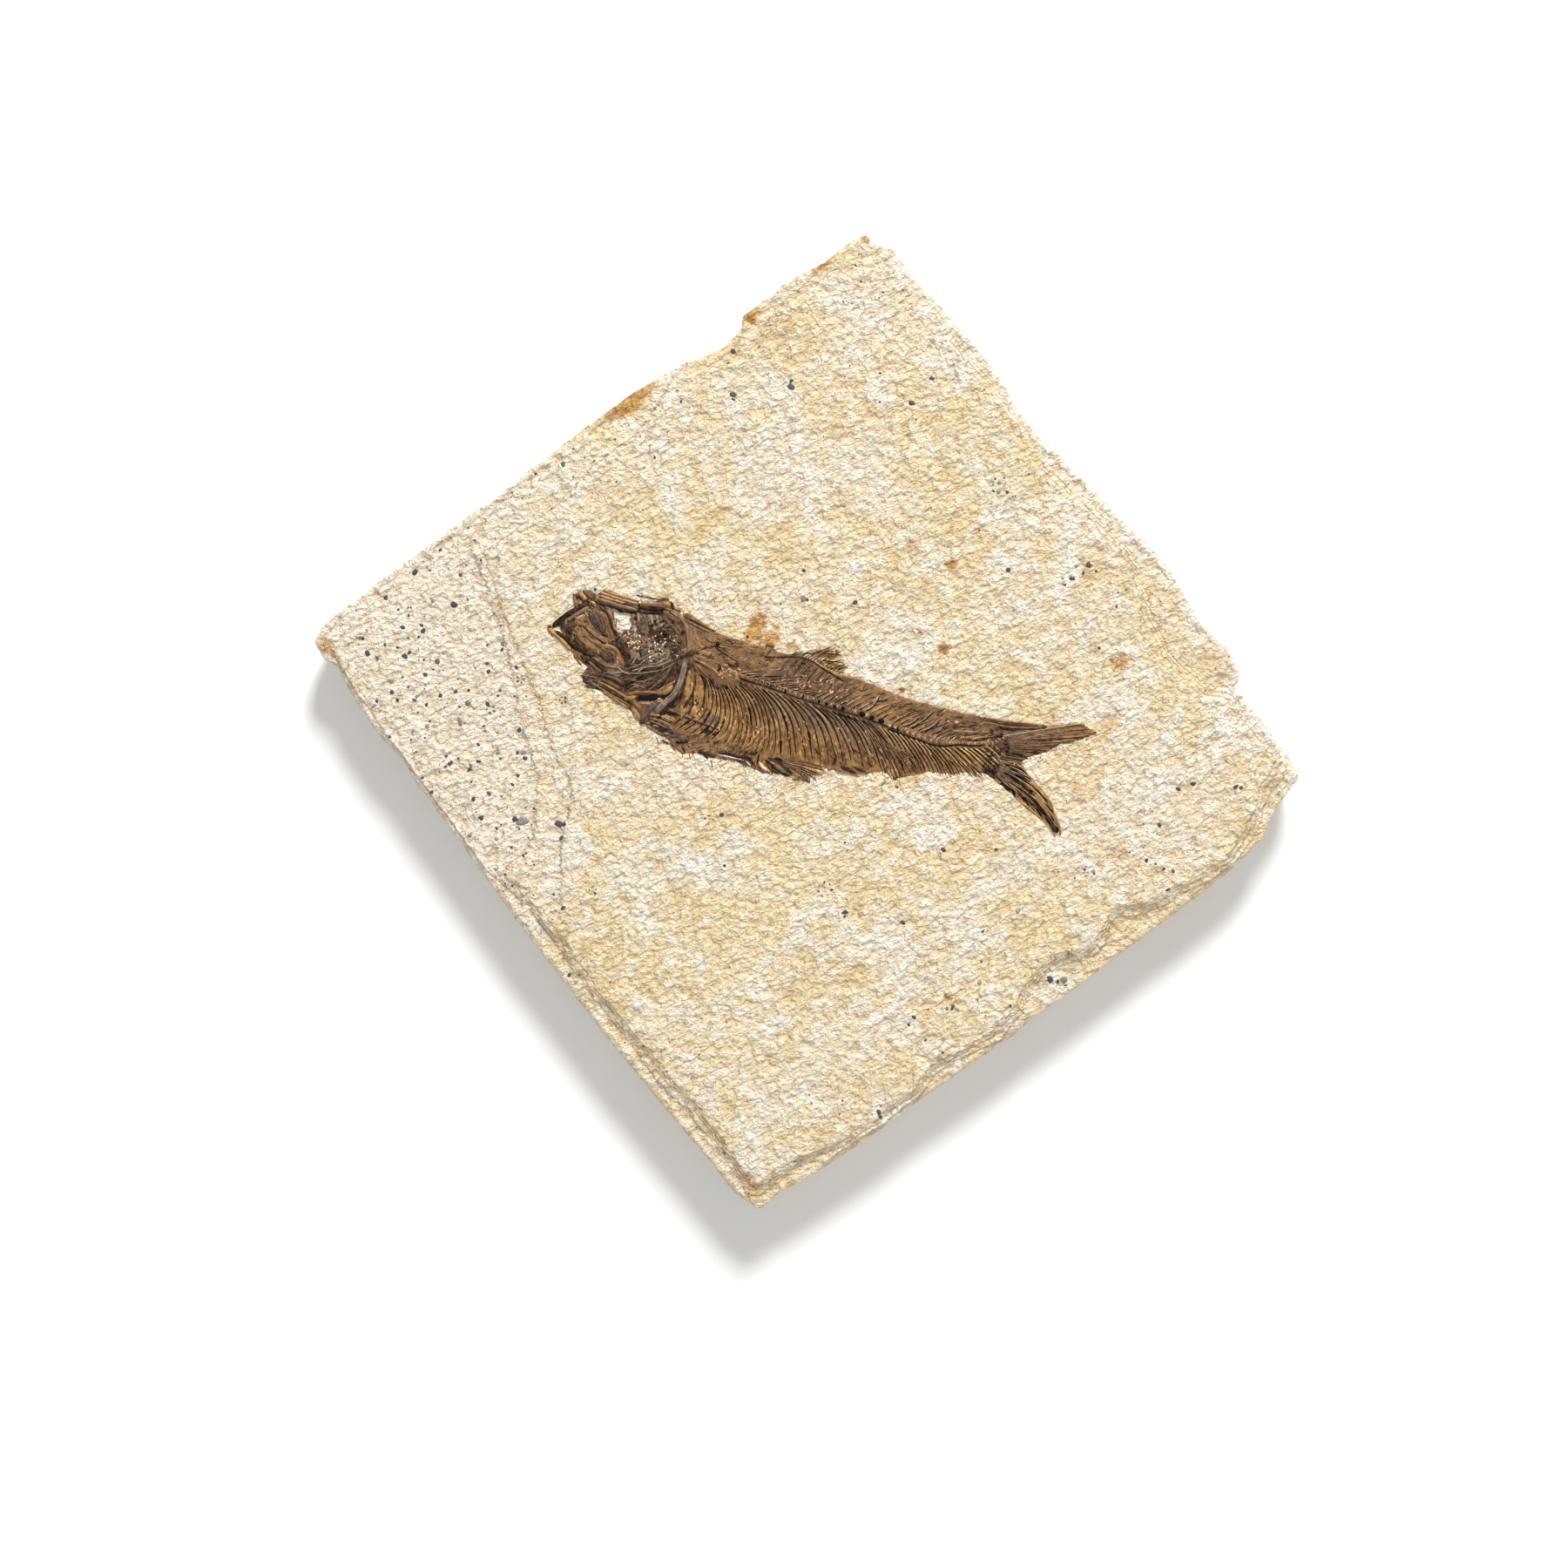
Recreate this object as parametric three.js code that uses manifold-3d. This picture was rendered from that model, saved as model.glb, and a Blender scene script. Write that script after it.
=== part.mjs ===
// A small fossil fish slab: a flat, roughly square piece of split laminated limestone, with the
// flattened skeleton of a herring-like fish fixed in its upper face.
// Millimetres, +Z up. The slab lies on its flat underside. The origin is the middle of the
// underside's bounding box, X and Y run along the slab's edges, and the fossil faces +Z.
import * as THREE from 'three';
import { mergeVertices } from 'three/addons/utils/BufferGeometryUtils.js';
import Module from 'manifold-3d';

const wasm = await Module();
wasm.setup();

// ---------------------------------------------------------------- driving dimensions

// Heights of the slab's bedding planes above its underside.
const FACE_TOP = 8.0;
const FACE_MIDDLE = 7.75;
const FACE_LOW = 7.5;
const LEDGE = 6.5;
const WIDEST = 4.2;
// The broken sides: [height, how far the outline is drawn in there, how ragged it is].
const SIDE_RINGS = [
  [0, 2.2, 0.5],
  [1.4, 0.9, 0.4],
  [2.8, 0.5, 0.3],
  [WIDEST, 0, 0],
  [5.4, 0.3, 0.2],
  [LEDGE, 0.8, 0.3],
];

// The fish: where its lower jaw tip is, how it is turned, and how far it is sunk in the face.
const JAW_TIP = [-35.7, -24.9];
const FISH_TURN = THREE.MathUtils.degToRad(36.8);
const POCKET_DEPTH = 0.8;
const POCKET_GAP = 0.3;
const FILM = 1.0;
const BODY_SWELL = 0.4;
const FISH_FLOOR = FACE_TOP - POCKET_DEPTH;
// The least cosine of half a corner's turn that still gets its full mitre.
const MITRE_LIMIT = 0.6;

// Skeleton counts and sizes.
const CENTRA = 36;
const RIBS = 24;
const CENTRUM_RADIUS = 0.5;
const RIB_WIDTH = 0.4;
const RAY_WIDTH = 0.3;
const RAY_HEIGHT = 1.25;

// ---------------------------------------------------------------- outlines, seen from above

// The whole slab, clockwise from its upper left corner.
const SLAB_OUTLINE = [
  [-54.5, 49.5], [-54, 50.5], [-51.5, 51], [-50, 52.5], [-43, 52.4], [-38.5, 53], [-31, 53.6],
  [-23.5, 53.6], [-20, 52.8], [-14, 52.5], [-10, 53.4], [-2, 54.4], [4.5, 55], [8, 55.7],
  [14.5, 56.2], [21.5, 55.3], [24, 55], [30, 55.8], [34.5, 55], [35.7, 53], [42, 53.3],
  [49.5, 53], [52.5, 52.5], [53.5, 49.5], [54, 47], [56.5, 42], [57.3, 37], [57.5, 30],
  [57.3, 16], [57.2, 3], [56.8, -2.5], [57.1, -6], [56.6, -16], [56.2, -23], [56.3, -27.5],
  [56, -34], [55.3, -44], [54.6, -48], [54.4, -51.5], [54.6, -53.2], [54, -54.1], [50, -55.2],
  [44.5, -55.2], [30, -55.8], [16, -56.2], [-5.5, -56.1], [-22, -55.6], [-30.5, -55.4],
  [-33.5, -54.9], [-38, -55.5], [-45, -55.2], [-51, -54.3], [-53, -55.1], [-56.3, -54.7],
  [-57.2, -53], [-57.5, -50], [-57.5, -39], [-57, -20], [-57, -2], [-56.6, 8.5], [-55.4, 17],
  [-54.5, 19], [-53.7, 23], [-54.3, 26.5], [-55.7, 28], [-55.8, 36.5], [-54.6, 43], [-54.8, 48],
];

// The lowest whole lamina of the face, inside the chipped rim.
const LOW_LAMINA = [
  [-53.6, 49], [-50.5, 51], [-40, 51.8], [-25, 51.7], [-20, 51.9], [-17, 52], [-13, 51.1],
  [-9.5, 51], [-5, 52.6], [5.5, 53], [13, 52.4], [16.5, 50.6], [20, 49.3], [24, 48.5],
  [28, 48], [30.5, 48.7], [32.5, 50], [35.5, 52.2], [42, 52.4], [49.5, 52.2], [50.7, 50.2],
  [52.3, 45.6], [55, 42], [56.6, 37], [56.6, 32], [55.5, 26], [54, 19.8], [52.4, 17.5],
  [52.5, 15.8], [54.5, 13.2], [55.2, 11], [52.6, 8], [52, 5.5], [52, 2.2], [53.2, -0.8],
  [55.5, -4.8], [56.4, -8.5], [55, -14.4], [54.3, -19.4], [55.6, -23], [55.6, -31],
  [54.8, -38.5], [54.9, -41], [53.5, -43.5], [52.2, -48.5], [52.8, -52.5], [51.6, -53.8],
  [47, -52.5], [40, -52.8], [30, -53.9], [16, -53.9], [8.5, -53.4], [-2.5, -53.2], [-5.7, -54],
  [-13, -55], [-30, -54.6], [-45, -54.3], [-51, -53.6], [-53.5, -53], [-56, -53], [-56.8, -49],
  [-56.8, -39], [-56.4, -20], [-56.3, -2], [-56, 8], [-54.9, 14.5], [-53.8, 18], [-53.2, 20.5],
  [-51.3, 23], [-52.2, 24.5], [-51.6, 26], [-51.9, 29], [-53.4, 34.5], [-54, 41],
];

// The middle lamina stops at a thin curved step across the lower left of the face.
const MIDDLE_LAMINA = [
  [-53.2, 37], [-51, 50], [-40, 51.2], [-25, 51.1], [-17, 51.4], [-9.5, 50.4], [5.5, 52.4],
  [12.5, 51.8], [19.5, 48.7], [28, 47.4], [33, 49.5], [36, 51.6], [49, 51.6], [51.5, 45.5],
  [54.4, 41.5], [56, 36.5], [54.9, 26], [51.8, 17], [54.2, 11.5], [51.5, 6], [51.5, 2],
  [54.5, -5], [55.2, -9], [53.7, -19], [54.9, -24], [54.9, -31], [54, -39], [51.6, -48],
  [51.8, -52], [40, -52.2], [16, -53.3], [-2.5, -52.6], [-10.5, -53.6], [-10.7, -48.6],
  [-12, -46], [-16, -42.3], [-20.3, -39.4], [-28, -36.5], [-33.6, -33.6], [-40.3, -30.7],
  [-47, -28.6], [-54, -26], [-55.6, -20], [-55.7, -2], [-55.4, 8], [-53.2, 18], [-52.8, 20],
  [-50.8, 23.2], [-51.4, 29], [-52.8, 34],
];

// The top lamina carries the fish.
const TOP_LAMINA = [
  [-52, 36.8], [-46.5, 36.7], [-42, 39.8], [-37.5, 44], [-33, 48], [-25, 50.4], [-9.5, 49.8],
  [5.5, 51.8], [12, 51.2], [19, 48.1], [28, 46.8], [33.5, 49], [36.5, 51], [48.6, 51],
  [51, 45], [53.8, 41], [55.4, 36], [54.3, 26], [51.2, 17], [53.6, 11.5], [51, 6], [51, 1.8],
  [54, -5], [54.6, -9], [53.1, -19], [54.3, -24], [54.3, -31], [53.4, -39], [51, -48],
  [51.2, -51.5], [40, -51.6], [16, -52.7], [-0.6, -52], [-1.2, -49.4], [-6, -45.2],
  [-10.3, -41.7], [-13.2, -38.1], [-14.5, -37], [-20.3, -35.7], [-25.7, -34.1], [-28, -32.8],
  [-37, -30.3], [-43.6, -28.4], [-51, -25.6], [-50.8, -18], [-49.9, -13], [-51.2, -4.5],
  [-51, 3], [-53, 9.5], [-54.4, 14.2], [-52.6, 19.6], [-50.2, 23.4], [-50.8, 29], [-52.2, 34],
];

// The fish in its own frame: x runs from the jaw tip to the tail, y towards the back.
const FISH_OUTLINE = [
  [-0.2, 0], [0.7, 0.6], [1.9, 2.3], [3.1, 3.7], [3.6, 4.6], [2.8, 5.1], [2.1, 6.3], [3.5, 7.2],
  [5.8, 7.3], [6.6, 8.1], [10.5, 7.9], [14, 8.1], [15.3, 9.3], [17.2, 9.1], [18, 8.4], [20, 7.9],
  [22.6, 6.9], [24.6, 6.5], [29, 6.2], [32.5, 6.5], [33.4, 7.1], [34.5, 6.3], [37, 6.4],
  [39.9, 8.1], [43.7, 9.2], [44.3, 8.2], [44, 7.3], [45.8, 6.6], [44.6, 5.6], [50, 5.3],
  [54.7, 4.6], [62, 4.7], [67.8, 4.9], [72, 5.3], [76.7, 6.2], [80.1, 7.2], [82.9, 8.1],
  [85.5, 7.3], [83.8, 5.9], [80.1, 4.1], [78.3, 2.2], [76.1, 0.9], [75.2, 0], [76.5, -1.8],
  [80.1, -4.4], [81.9, -6.4], [83.6, -8.5], [83.3, -9.5], [81.9, -8.4], [77, -6.3],
  [73.1, -4.5], [70.3, -3.5], [68.8, -3.5], [65.4, -4.8], [62, -5.4], [60.8, -6.2],
  [57.4, -7.8], [55.1, -7.1], [52.9, -8.2], [51.1, -8.8], [47.6, -9], [46.5, -10.3],
  [44.3, -10.9], [44.6, -12], [42.2, -12.2], [39.5, -11.9], [37.7, -12.4], [32.7, -11.8],
  [29.1, -12.4], [27.2, -12.2], [25, -13], [22.1, -11.4], [18.5, -10.2], [17.4, -10.2],
  [15.5, -8.7], [12.6, -7.9], [9.1, -7], [7.2, -6.4], [6.6, -5.4], [7.1, -4.3], [4.6, -2.7],
  [2.1, -0.8],
];

// Stations of the swollen trunk: [x, top edge, bottom edge].
const TRUNK = [
  [21, 6.6, -9.5], [26, 5.8, -11], [32, 5.8, -11.2], [38, 5.6, -11], [43, 4.8, -10.2],
  [48, 4.7, -8.3], [54, 4.1, -6.8], [60, 4.1, -5.6], [65, 4.2, -4.2], [69, 4.2, -3],
];

// The backbone, from behind the head to where it turns up into the tail.
const BACKBONE = [
  [22, 1], [30, 0.7], [38, 0.4], [46, 0.3], [53, 0.1], [58, -0.5], [62, -0.6], [66, 0.3],
  [69, 1.2], [72, 2.4],
];

// ---------------------------------------------------------------- geometry helpers

// A closed three.js geometry as a solid that can be joined and cut.
function solid(geometry) {
  const bare = geometry.clone();
  bare.deleteAttribute('normal');
  bare.deleteAttribute('uv');
  const welded = mergeVertices(bare, 1e-4);
  return new wasm.Manifold(new wasm.Mesh({
    numProp: 3,
    vertProperties: new Float32Array(welded.attributes.position.array),
    triVerts: new Uint32Array(welded.index.array),
  }));
}

// A finished solid back as a three.js geometry.
function geometryOf(body) {
  const mesh = body.getMesh();
  const geometry = new THREE.BufferGeometry();
  geometry.setAttribute('position', new THREE.BufferAttribute(mesh.vertProperties, 3));
  geometry.setIndex(new THREE.BufferAttribute(mesh.triVerts, 1));
  geometry.computeVertexNormals();
  return geometry;
}

const join = (solids) => solids.reduce((whole, piece) => whole.add(piece));

// The slab's outline shrunk towards the middle, by a distance that may differ at each corner.
function shrunk(outline, distanceAt) {
  const reach = Math.max(...outline.flat().map(Math.abs));
  return outline.map(([x, y], i) => [x, y].map((value) => value * (1 - distanceAt(i) / reach)));
}

// An outline grown outwards by the same distance all round, with its sharp corners blunted.
function grown(outline, distance) {
  return outline.map((corner, i) => {
    const before = new THREE.Vector2(...outline.at(i - 1));
    const here = new THREE.Vector2(...corner);
    const after = new THREE.Vector2(...outline[(i + 1) % outline.length]);
    const arriving = here.clone().sub(before).normalize();
    const leaving = after.sub(here).normalize();
    const heading = arriving.clone().add(leaving).normalize();
    const step = distance / Math.max(MITRE_LIMIT, heading.dot(arriving));
    return [here.x - heading.y * step, here.y + heading.x * step];
  });
}

// A straight-sided slice with the given outline.
function slice(outline, bottom, top) {
  const shape = new THREE.Shape(outline.map(([x, y]) => new THREE.Vector2(x, y)));
  const geometry = new THREE.ExtrudeGeometry(shape, { depth: top - bottom, bevelEnabled: false });
  geometry.translate(0, 0, bottom);
  return solid(geometry);
}

// A closed skin through rings of equal corner count, the first one lowest.
function skin(rings) {
  const count = rings[0].points.length;
  const positions = rings.flatMap((ring) => ring.points.flatMap(([x, y]) => [x, y, ring.z]));
  const index = [];
  for (let level = 0; level + 1 < rings.length; level += 1) {
    for (let i = 0; i < count; i += 1) {
      const a = level * count + i;
      const b = level * count + (i + 1) % count;
      index.push(a, b, a + count, b, b + count, a + count);
    }
  }
  const cap = (ring, start, flip) => {
    const flat = ring.points.map(([x, y]) => new THREE.Vector2(x, y));
    for (const [a, b, c] of THREE.ShapeUtils.triangulateShape(flat, [])) {
      index.push(start + a, start + (flip ? c : b), start + (flip ? b : c));
    }
  };
  cap(rings[0], 0, true);
  cap(rings.at(-1), (rings.length - 1) * count, false);
  const geometry = new THREE.BufferGeometry();
  geometry.setAttribute('position', new THREE.Float32BufferAttribute(positions, 3));
  geometry.setIndex(index);
  return solid(geometry);
}

// A tapered bar lying on the fish's floor along a list of [x, y] points.
function bar(points, width, height, tipWidth = width) {
  const left = [];
  const right = [];
  points.forEach(([x, y], i) => {
    const [x0, y0] = points[Math.max(0, i - 1)];
    const [x1, y1] = points[Math.min(points.length - 1, i + 1)];
    const along = new THREE.Vector2(x1 - x0, y1 - y0).normalize();
    const half = THREE.MathUtils.lerp(width, tipWidth, i / (points.length - 1)) / 2;
    left.push([x - along.y * half, y + along.x * half]);
    right.unshift([x + along.y * half, y - along.x * half]);
  });
  return slice([...left, ...right], 0, height);
}

// A smooth curve through [x, y] points, as evenly spaced points.
function curveThrough(points, steps) {
  const curve = new THREE.SplineCurve(points.map(([x, y]) => new THREE.Vector2(x, y)));
  return curve.getSpacedPoints(steps).map((point) => [point.x, point.y]);
}

// ---------------------------------------------------------------- the limestone

function makeSlab() {
  const count = SLAB_OUTLINE.length;
  const raggedness = (i, z) => 0.5 + 0.5 * Math.sin(i * 2.3 + z * 1.7) * Math.cos(i * 0.9 - z);
  const rings = SIDE_RINGS.map(([z, inset, ragged]) => ({
    z,
    points: shrunk(SLAB_OUTLINE, (i) => inset + ragged * raggedness(i % count, z)).reverse(),
  }));
  const laminae = [
    slice(LOW_LAMINA, LEDGE - 0.5, FACE_LOW),
    slice(MIDDLE_LAMINA, LEDGE, FACE_MIDDLE),
    slice(TOP_LAMINA, LEDGE, FACE_TOP),
  ];
  const pocket = slice(placed(grown(FISH_OUTLINE, POCKET_GAP)), FISH_FLOOR, FACE_TOP + 2);
  return join([skin(rings), ...laminae]).subtract(pocket);
}

// Fish-frame points as they lie on the slab.
function placed(points) {
  const turn = new THREE.Vector2();
  return points.map(([x, y]) => {
    turn.set(x, y).rotateAround(new THREE.Vector2(), FISH_TURN);
    return [turn.x + JAW_TIP[0], turn.y + JAW_TIP[1]];
  });
}

// ---------------------------------------------------------------- the fish

// The trunk's low swelling, a rounded section at each station.
function makeTrunk() {
  const steps = 9;
  const sections = TRUNK.map(([x, top, bottom], station) => {
    const swell = BODY_SWELL * Math.sin((Math.PI * (station + 1)) / (TRUNK.length + 1));
    const across = (t) => [x, THREE.MathUtils.lerp(top, bottom, t), FILM - 0.2 + (0.2 + swell)
      * Math.sin(Math.PI * t)];
    const arc = Array.from({ length: steps }, (_, i) => across(i / (steps - 1)));
    return [...arc, [x, bottom, 0.2], [x, top, 0.2]];
  });
  const size = sections[0].length;
  const index = [];
  for (let s = 0; s + 1 < sections.length; s += 1) {
    for (let i = 0; i < size; i += 1) {
      const a = s * size + i;
      const b = s * size + (i + 1) % size;
      index.push(a, b, a + size, b, b + size, a + size);
    }
  }
  for (let i = 1; i + 1 < size; i += 1) {
    const last = (sections.length - 1) * size;
    index.push(0, i + 1, i, last, last + i, last + i + 1);
  }
  const geometry = new THREE.BufferGeometry();
  geometry.setAttribute('position', new THREE.Float32BufferAttribute(sections.flat(2), 3));
  geometry.setIndex(index);
  return solid(geometry);
}

// One short drum for each vertebra, a little apart along the backbone.
function makeBackbone() {
  const spots = curveThrough(BACKBONE, CENTRA);
  const rail = bar(spots, CENTRUM_RADIUS, FILM + BODY_SWELL);
  const drums = spots.slice(1).map(([x, y], i) => {
    const [px, py] = spots[i];
    const length = Math.hypot(x - px, y - py) * 0.8;
    const drum = new THREE.CylinderGeometry(CENTRUM_RADIUS, CENTRUM_RADIUS, length, 6);
    drum.rotateZ(Math.atan2(y - py, x - px) + Math.PI / 2);
    drum.translate((x + px) / 2, (y + py) / 2, FILM + BODY_SWELL - 0.3);
    return solid(drum);
  });
  return join([rail, ...drums]);
}

// Ribs leave the backbone, curve back and end near the belly.
function makeRibs() {
  const ribs = Array.from({ length: RIBS }, (_, i) => {
    const along = i / (RIBS - 1);
    const x = THREE.MathUtils.lerp(24, 52, along);
    const reach = THREE.MathUtils.lerp(10, 6.8, along * along);
    const lean = THREE.MathUtils.lerp(1.5, 4.5, along);
    const points = [[x, 0.2], [x + lean * 0.6, -reach * 0.45], [x + lean, -reach]];
    return bar(points, RIB_WIDTH, FILM + BODY_SWELL + 0.1, RIB_WIDTH / 2);
  });
  return join(ribs);
}

// Spines above and below the tail half of the backbone.
function makeTailSpines() {
  const spines = [];
  for (let x = 54; x < 68; x += 1.3) {
    spines.push(bar([[x, 0], [x + 2.4, 3.4]], RAY_WIDTH, RAY_HEIGHT, RAY_WIDTH / 2));
    spines.push(bar([[x, -0.4], [x + 3, -3.2]], RAY_WIDTH, RAY_HEIGHT, RAY_WIDTH / 2));
  }
  return join(spines);
}

// A fan of straight rays between two root points and two tip points.
function makeFan(rootA, rootB, tipA, tipB, count) {
  const mix = (a, b, t) => [
    THREE.MathUtils.lerp(a[0], b[0], t),
    THREE.MathUtils.lerp(a[1], b[1], t),
  ];
  return join(Array.from({ length: count }, (_, i) => {
    const t = i / (count - 1);
    return bar([mix(rootA, rootB, t), mix(tipA, tipB, t)], RAY_WIDTH, RAY_HEIGHT, RAY_WIDTH / 2);
  }));
}

function makeFins() {
  const dorsal = makeFan([36.8, 5.9], [43.5, 4.8], [43.4, 8.9], [45.2, 6.4], 9);
  const upperTail = makeFan([71, 3.6], [73, 0.6], [82.6, 7.7], [76.4, 1.4], 9);
  const lowerTail = makeFan([73, -0.2], [71, -3.2], [76.2, -1.9], [82.8, -9], 9);
  const anal = makeFan([54.5, -4.6], [62, -3.8], [57, -7.3], [64, -4.7], 9);
  const pelvic = makeFan([38, -10.4], [39, -11.4], [45.6, -10.2], [43.4, -11.6], 4);
  return join([dorsal, upperTail, lowerTail, anal, pelvic]);
}

// Head: gill cover, shoulder bar, skull roof, snout, cheek and both jaws.
function makeHead() {
  const plate = (x, y, long, tall, rise) => {
    const dome = new THREE.SphereGeometry(1, 16, 8);
    dome.rotateX(Math.PI / 2);
    dome.scale(long, tall, rise);
    dome.translate(x, y, FILM);
    return solid(dome);
  };
  return join([
    plate(16.5, -1.5, 4.6, 5.4, 0.5),
    plate(7.2, 0.8, 3.6, 4, 0.3),
    bar(curveThrough([[20.5, 1], [21.5, -1], [21.2, -4], [19.5, -6.6], [18, -9.6]], 8), 0.9, 1.7),
    bar([[6, 7.1], [11, 7.1], [17, 8.4]], 1.6, 1.5, 1.2),
    bar([[17.2, 8], [20, 6.4], [21.4, 3], [21, 0.6]], 0.5, 1.6),
    bar([[0.9, 0.9], [2.5, 2.9], [4.6, 5.6]], 0.7, 1.5),
    bar([[0.1, 0], [3.5, -1.2], [8.5, -1.9]], 0.8, 1.5, 0.5),
    bar([[9, -6.4], [15, -7.9], [17.4, -9.4]], 0.8, 1.4),
  ]);
}

// The bones stay inside the outline of the film that they lie in.
function makeFish() {
  const relief = [makeTrunk(), makeBackbone(), makeRibs(), makeTailSpines(), makeFins(), makeHead()];
  const film = slice(FISH_OUTLINE, 0, FILM);
  return film.add(join(relief).intersect(slice(FISH_OUTLINE, 0, 2 * FILM)));
}

// ---------------------------------------------------------------- the part

const limestone = new THREE.MeshStandardMaterial({ color: 0xe3d3ad, roughness: 0.92, metalness: 0 });
const bone = new THREE.MeshStandardMaterial({ color: 0x5b4430, roughness: 0.6, metalness: 0 });

const slab = new THREE.Mesh(geometryOf(makeSlab()), limestone);
slab.name = 'matrix_slab';

const fish = new THREE.Mesh(geometryOf(makeFish()), bone);
fish.name = 'fossil_fish';
const bed = new THREE.Group();
bed.position.set(JAW_TIP[0], JAW_TIP[1], FISH_FLOOR);
bed.rotation.z = FISH_TURN;
bed.add(fish);

const part = new THREE.Group();
part.add(slab, bed);

export default part;
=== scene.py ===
"""Looks of the fossil fish slab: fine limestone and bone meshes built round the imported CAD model.

Lengths in this script are millimetres until a mesh is made, in the row frame: +Z out of the face
that carries the fish, origin in the middle of the underside. Fish measures are in the fish's own
frame, x from the lower jaw's tip to the tail and y towards the back.
"""

import math

import bpy
import numpy as np
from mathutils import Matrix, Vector
from mathutils.bvhtree import BVHTree
from mathutils.geometry import delaunay_2d_cdt


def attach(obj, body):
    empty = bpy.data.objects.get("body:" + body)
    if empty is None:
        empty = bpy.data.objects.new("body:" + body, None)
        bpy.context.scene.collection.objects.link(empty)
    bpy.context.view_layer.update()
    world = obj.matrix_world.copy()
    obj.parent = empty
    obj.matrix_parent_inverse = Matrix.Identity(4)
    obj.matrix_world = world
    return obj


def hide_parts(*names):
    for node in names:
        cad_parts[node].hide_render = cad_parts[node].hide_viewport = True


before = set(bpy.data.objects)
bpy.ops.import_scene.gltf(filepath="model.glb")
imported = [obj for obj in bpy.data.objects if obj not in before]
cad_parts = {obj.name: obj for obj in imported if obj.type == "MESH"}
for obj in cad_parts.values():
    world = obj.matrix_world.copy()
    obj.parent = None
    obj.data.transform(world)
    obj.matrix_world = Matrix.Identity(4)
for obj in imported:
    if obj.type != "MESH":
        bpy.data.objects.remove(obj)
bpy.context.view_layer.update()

MM = 0.001
FAR = 1e9
# Rays are cast straight down from this height.
ABOVE = 50
DOWN = Vector((0, 0, -1))

# The face's highest and lowest bedding planes, the slab's half width and the height where it is
# widest, and the fish's bed, as the CAD has them.
FACE_TOP = 8.0
FACE_LOW = 7.5
HALF_WIDTH = 57.5
WIDEST = 4.2
POCKET_FLOOR = 7.2
JAW_TIP = np.array([-35.7, -24.9])
FISH_TURN = math.radians(36.8)


# ---------------------------------------------------------------- noise and small helpers

def lattice(ix, iy, seed):
    """A repeatable random number, 0 to 1, for each whole-number point."""
    n = (ix.astype(np.int64) * 374761393 + iy.astype(np.int64) * 668265263 + seed * 974711) & 0xFFFFFFFF
    n = ((n ^ (n >> 13)) * 1274126177) & 0xFFFFFFFF
    return ((n ^ (n >> 16)) & 0xFFFFFF) / 0xFFFFFF


def noise(x, y, size, seed):
    """Smooth gradient noise, about -1 to 1, with features about size across."""
    x, y = np.asarray(x, float) / size, np.asarray(y, float) / size
    ix, iy = np.floor(x).astype(np.int64), np.floor(y).astype(np.int64)
    fx, fy = x - ix, y - iy
    u = fx ** 3 * (fx * (fx * 6 - 15) + 10)
    v = fy ** 3 * (fy * (fy * 6 - 15) + 10)

    def corner(dx, dy):
        turn = lattice(ix + dx, iy + dy, seed) * 2 * math.pi
        return np.cos(turn) * (fx - dx) + np.sin(turn) * (fy - dy)

    low = corner(0, 0) * (1 - u) + corner(1, 0) * u
    high = corner(0, 1) * (1 - u) + corner(1, 1) * u
    return (low * (1 - v) + high * v) * 1.5


def fractal(x, y, size, octaves, seed, gain=0.5):
    """Several sizes of noise on top of each other, each half as large as the last."""
    total, share, weight = 0.0, 1.0, 0.0
    for octave in range(octaves):
        total = total + share * noise(x, y, size / 2 ** octave, seed + octave)
        weight += share
        share *= gain
    return total / weight


def domes(x, y, size, seed):
    """Rounded bumps packed side by side: 1 on their tops, about 0.4 in the creases between them."""
    x, y = np.asarray(x, float) / size, np.asarray(y, float) / size
    ix, iy = np.floor(x).astype(np.int64), np.floor(y).astype(np.int64)
    nearest = np.full(x.shape, 1.0)
    for dx in (-1, 0, 1):
        for dy in (-1, 0, 1):
            px = ix + dx + lattice(ix + dx, iy + dy, seed)
            py = iy + dy + lattice(ix + dx, iy + dy, seed + 1)
            nearest = np.minimum(nearest, (x - px) ** 2 + (y - py) ** 2)
    return 1 - nearest


def heading(turn):
    return np.array([math.cos(turn), math.sin(turn)])


def smooth(low, high, value):
    """0 below low, 1 above high, with a soft step between."""
    t = np.clip((value - low) / (high - low), 0, 1)
    return t * t * (3 - 2 * t)


def to_row(points):
    """Fish-frame points in the row frame."""
    points = np.asarray(points, float)
    c, s = math.cos(FISH_TURN), math.sin(FISH_TURN)
    return points @ np.array([[c, s], [-s, c]]) + JAW_TIP


def to_fish(points):
    """Row-frame points in the fish's frame."""
    c, s = math.cos(FISH_TURN), math.sin(FISH_TURN)
    return (np.asarray(points, float) - JAW_TIP) @ np.array([[c, -s], [s, c]])


def edge_distance(points, ring):
    """Each point's distance to a closed outline."""
    best = np.full(len(points), FAR)
    for p, q in zip(np.asarray(ring, float), np.roll(ring, -1, axis=0)):
        d = q - p
        t = np.clip(((points - p) @ d) / max(d @ d, 1e-12), 0, 1)
        spot = p + t[:, None] * d
        best = np.minimum(best, np.hypot(*(points - spot).T))
    return best


def inside(points, ring):
    """Which points lie inside a closed outline."""
    x, y = points.T
    result = np.zeros(len(points), bool)
    for (x0, y0), (x1, y1) in zip(ring, np.roll(ring, -1, axis=0)):
        crosses = (y0 > y) != (y1 > y)
        with np.errstate(divide="ignore", invalid="ignore"):
            result ^= crosses & (x < (x1 - x0) * (y - y0) / (y1 - y0) + x0)
    return result


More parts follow.
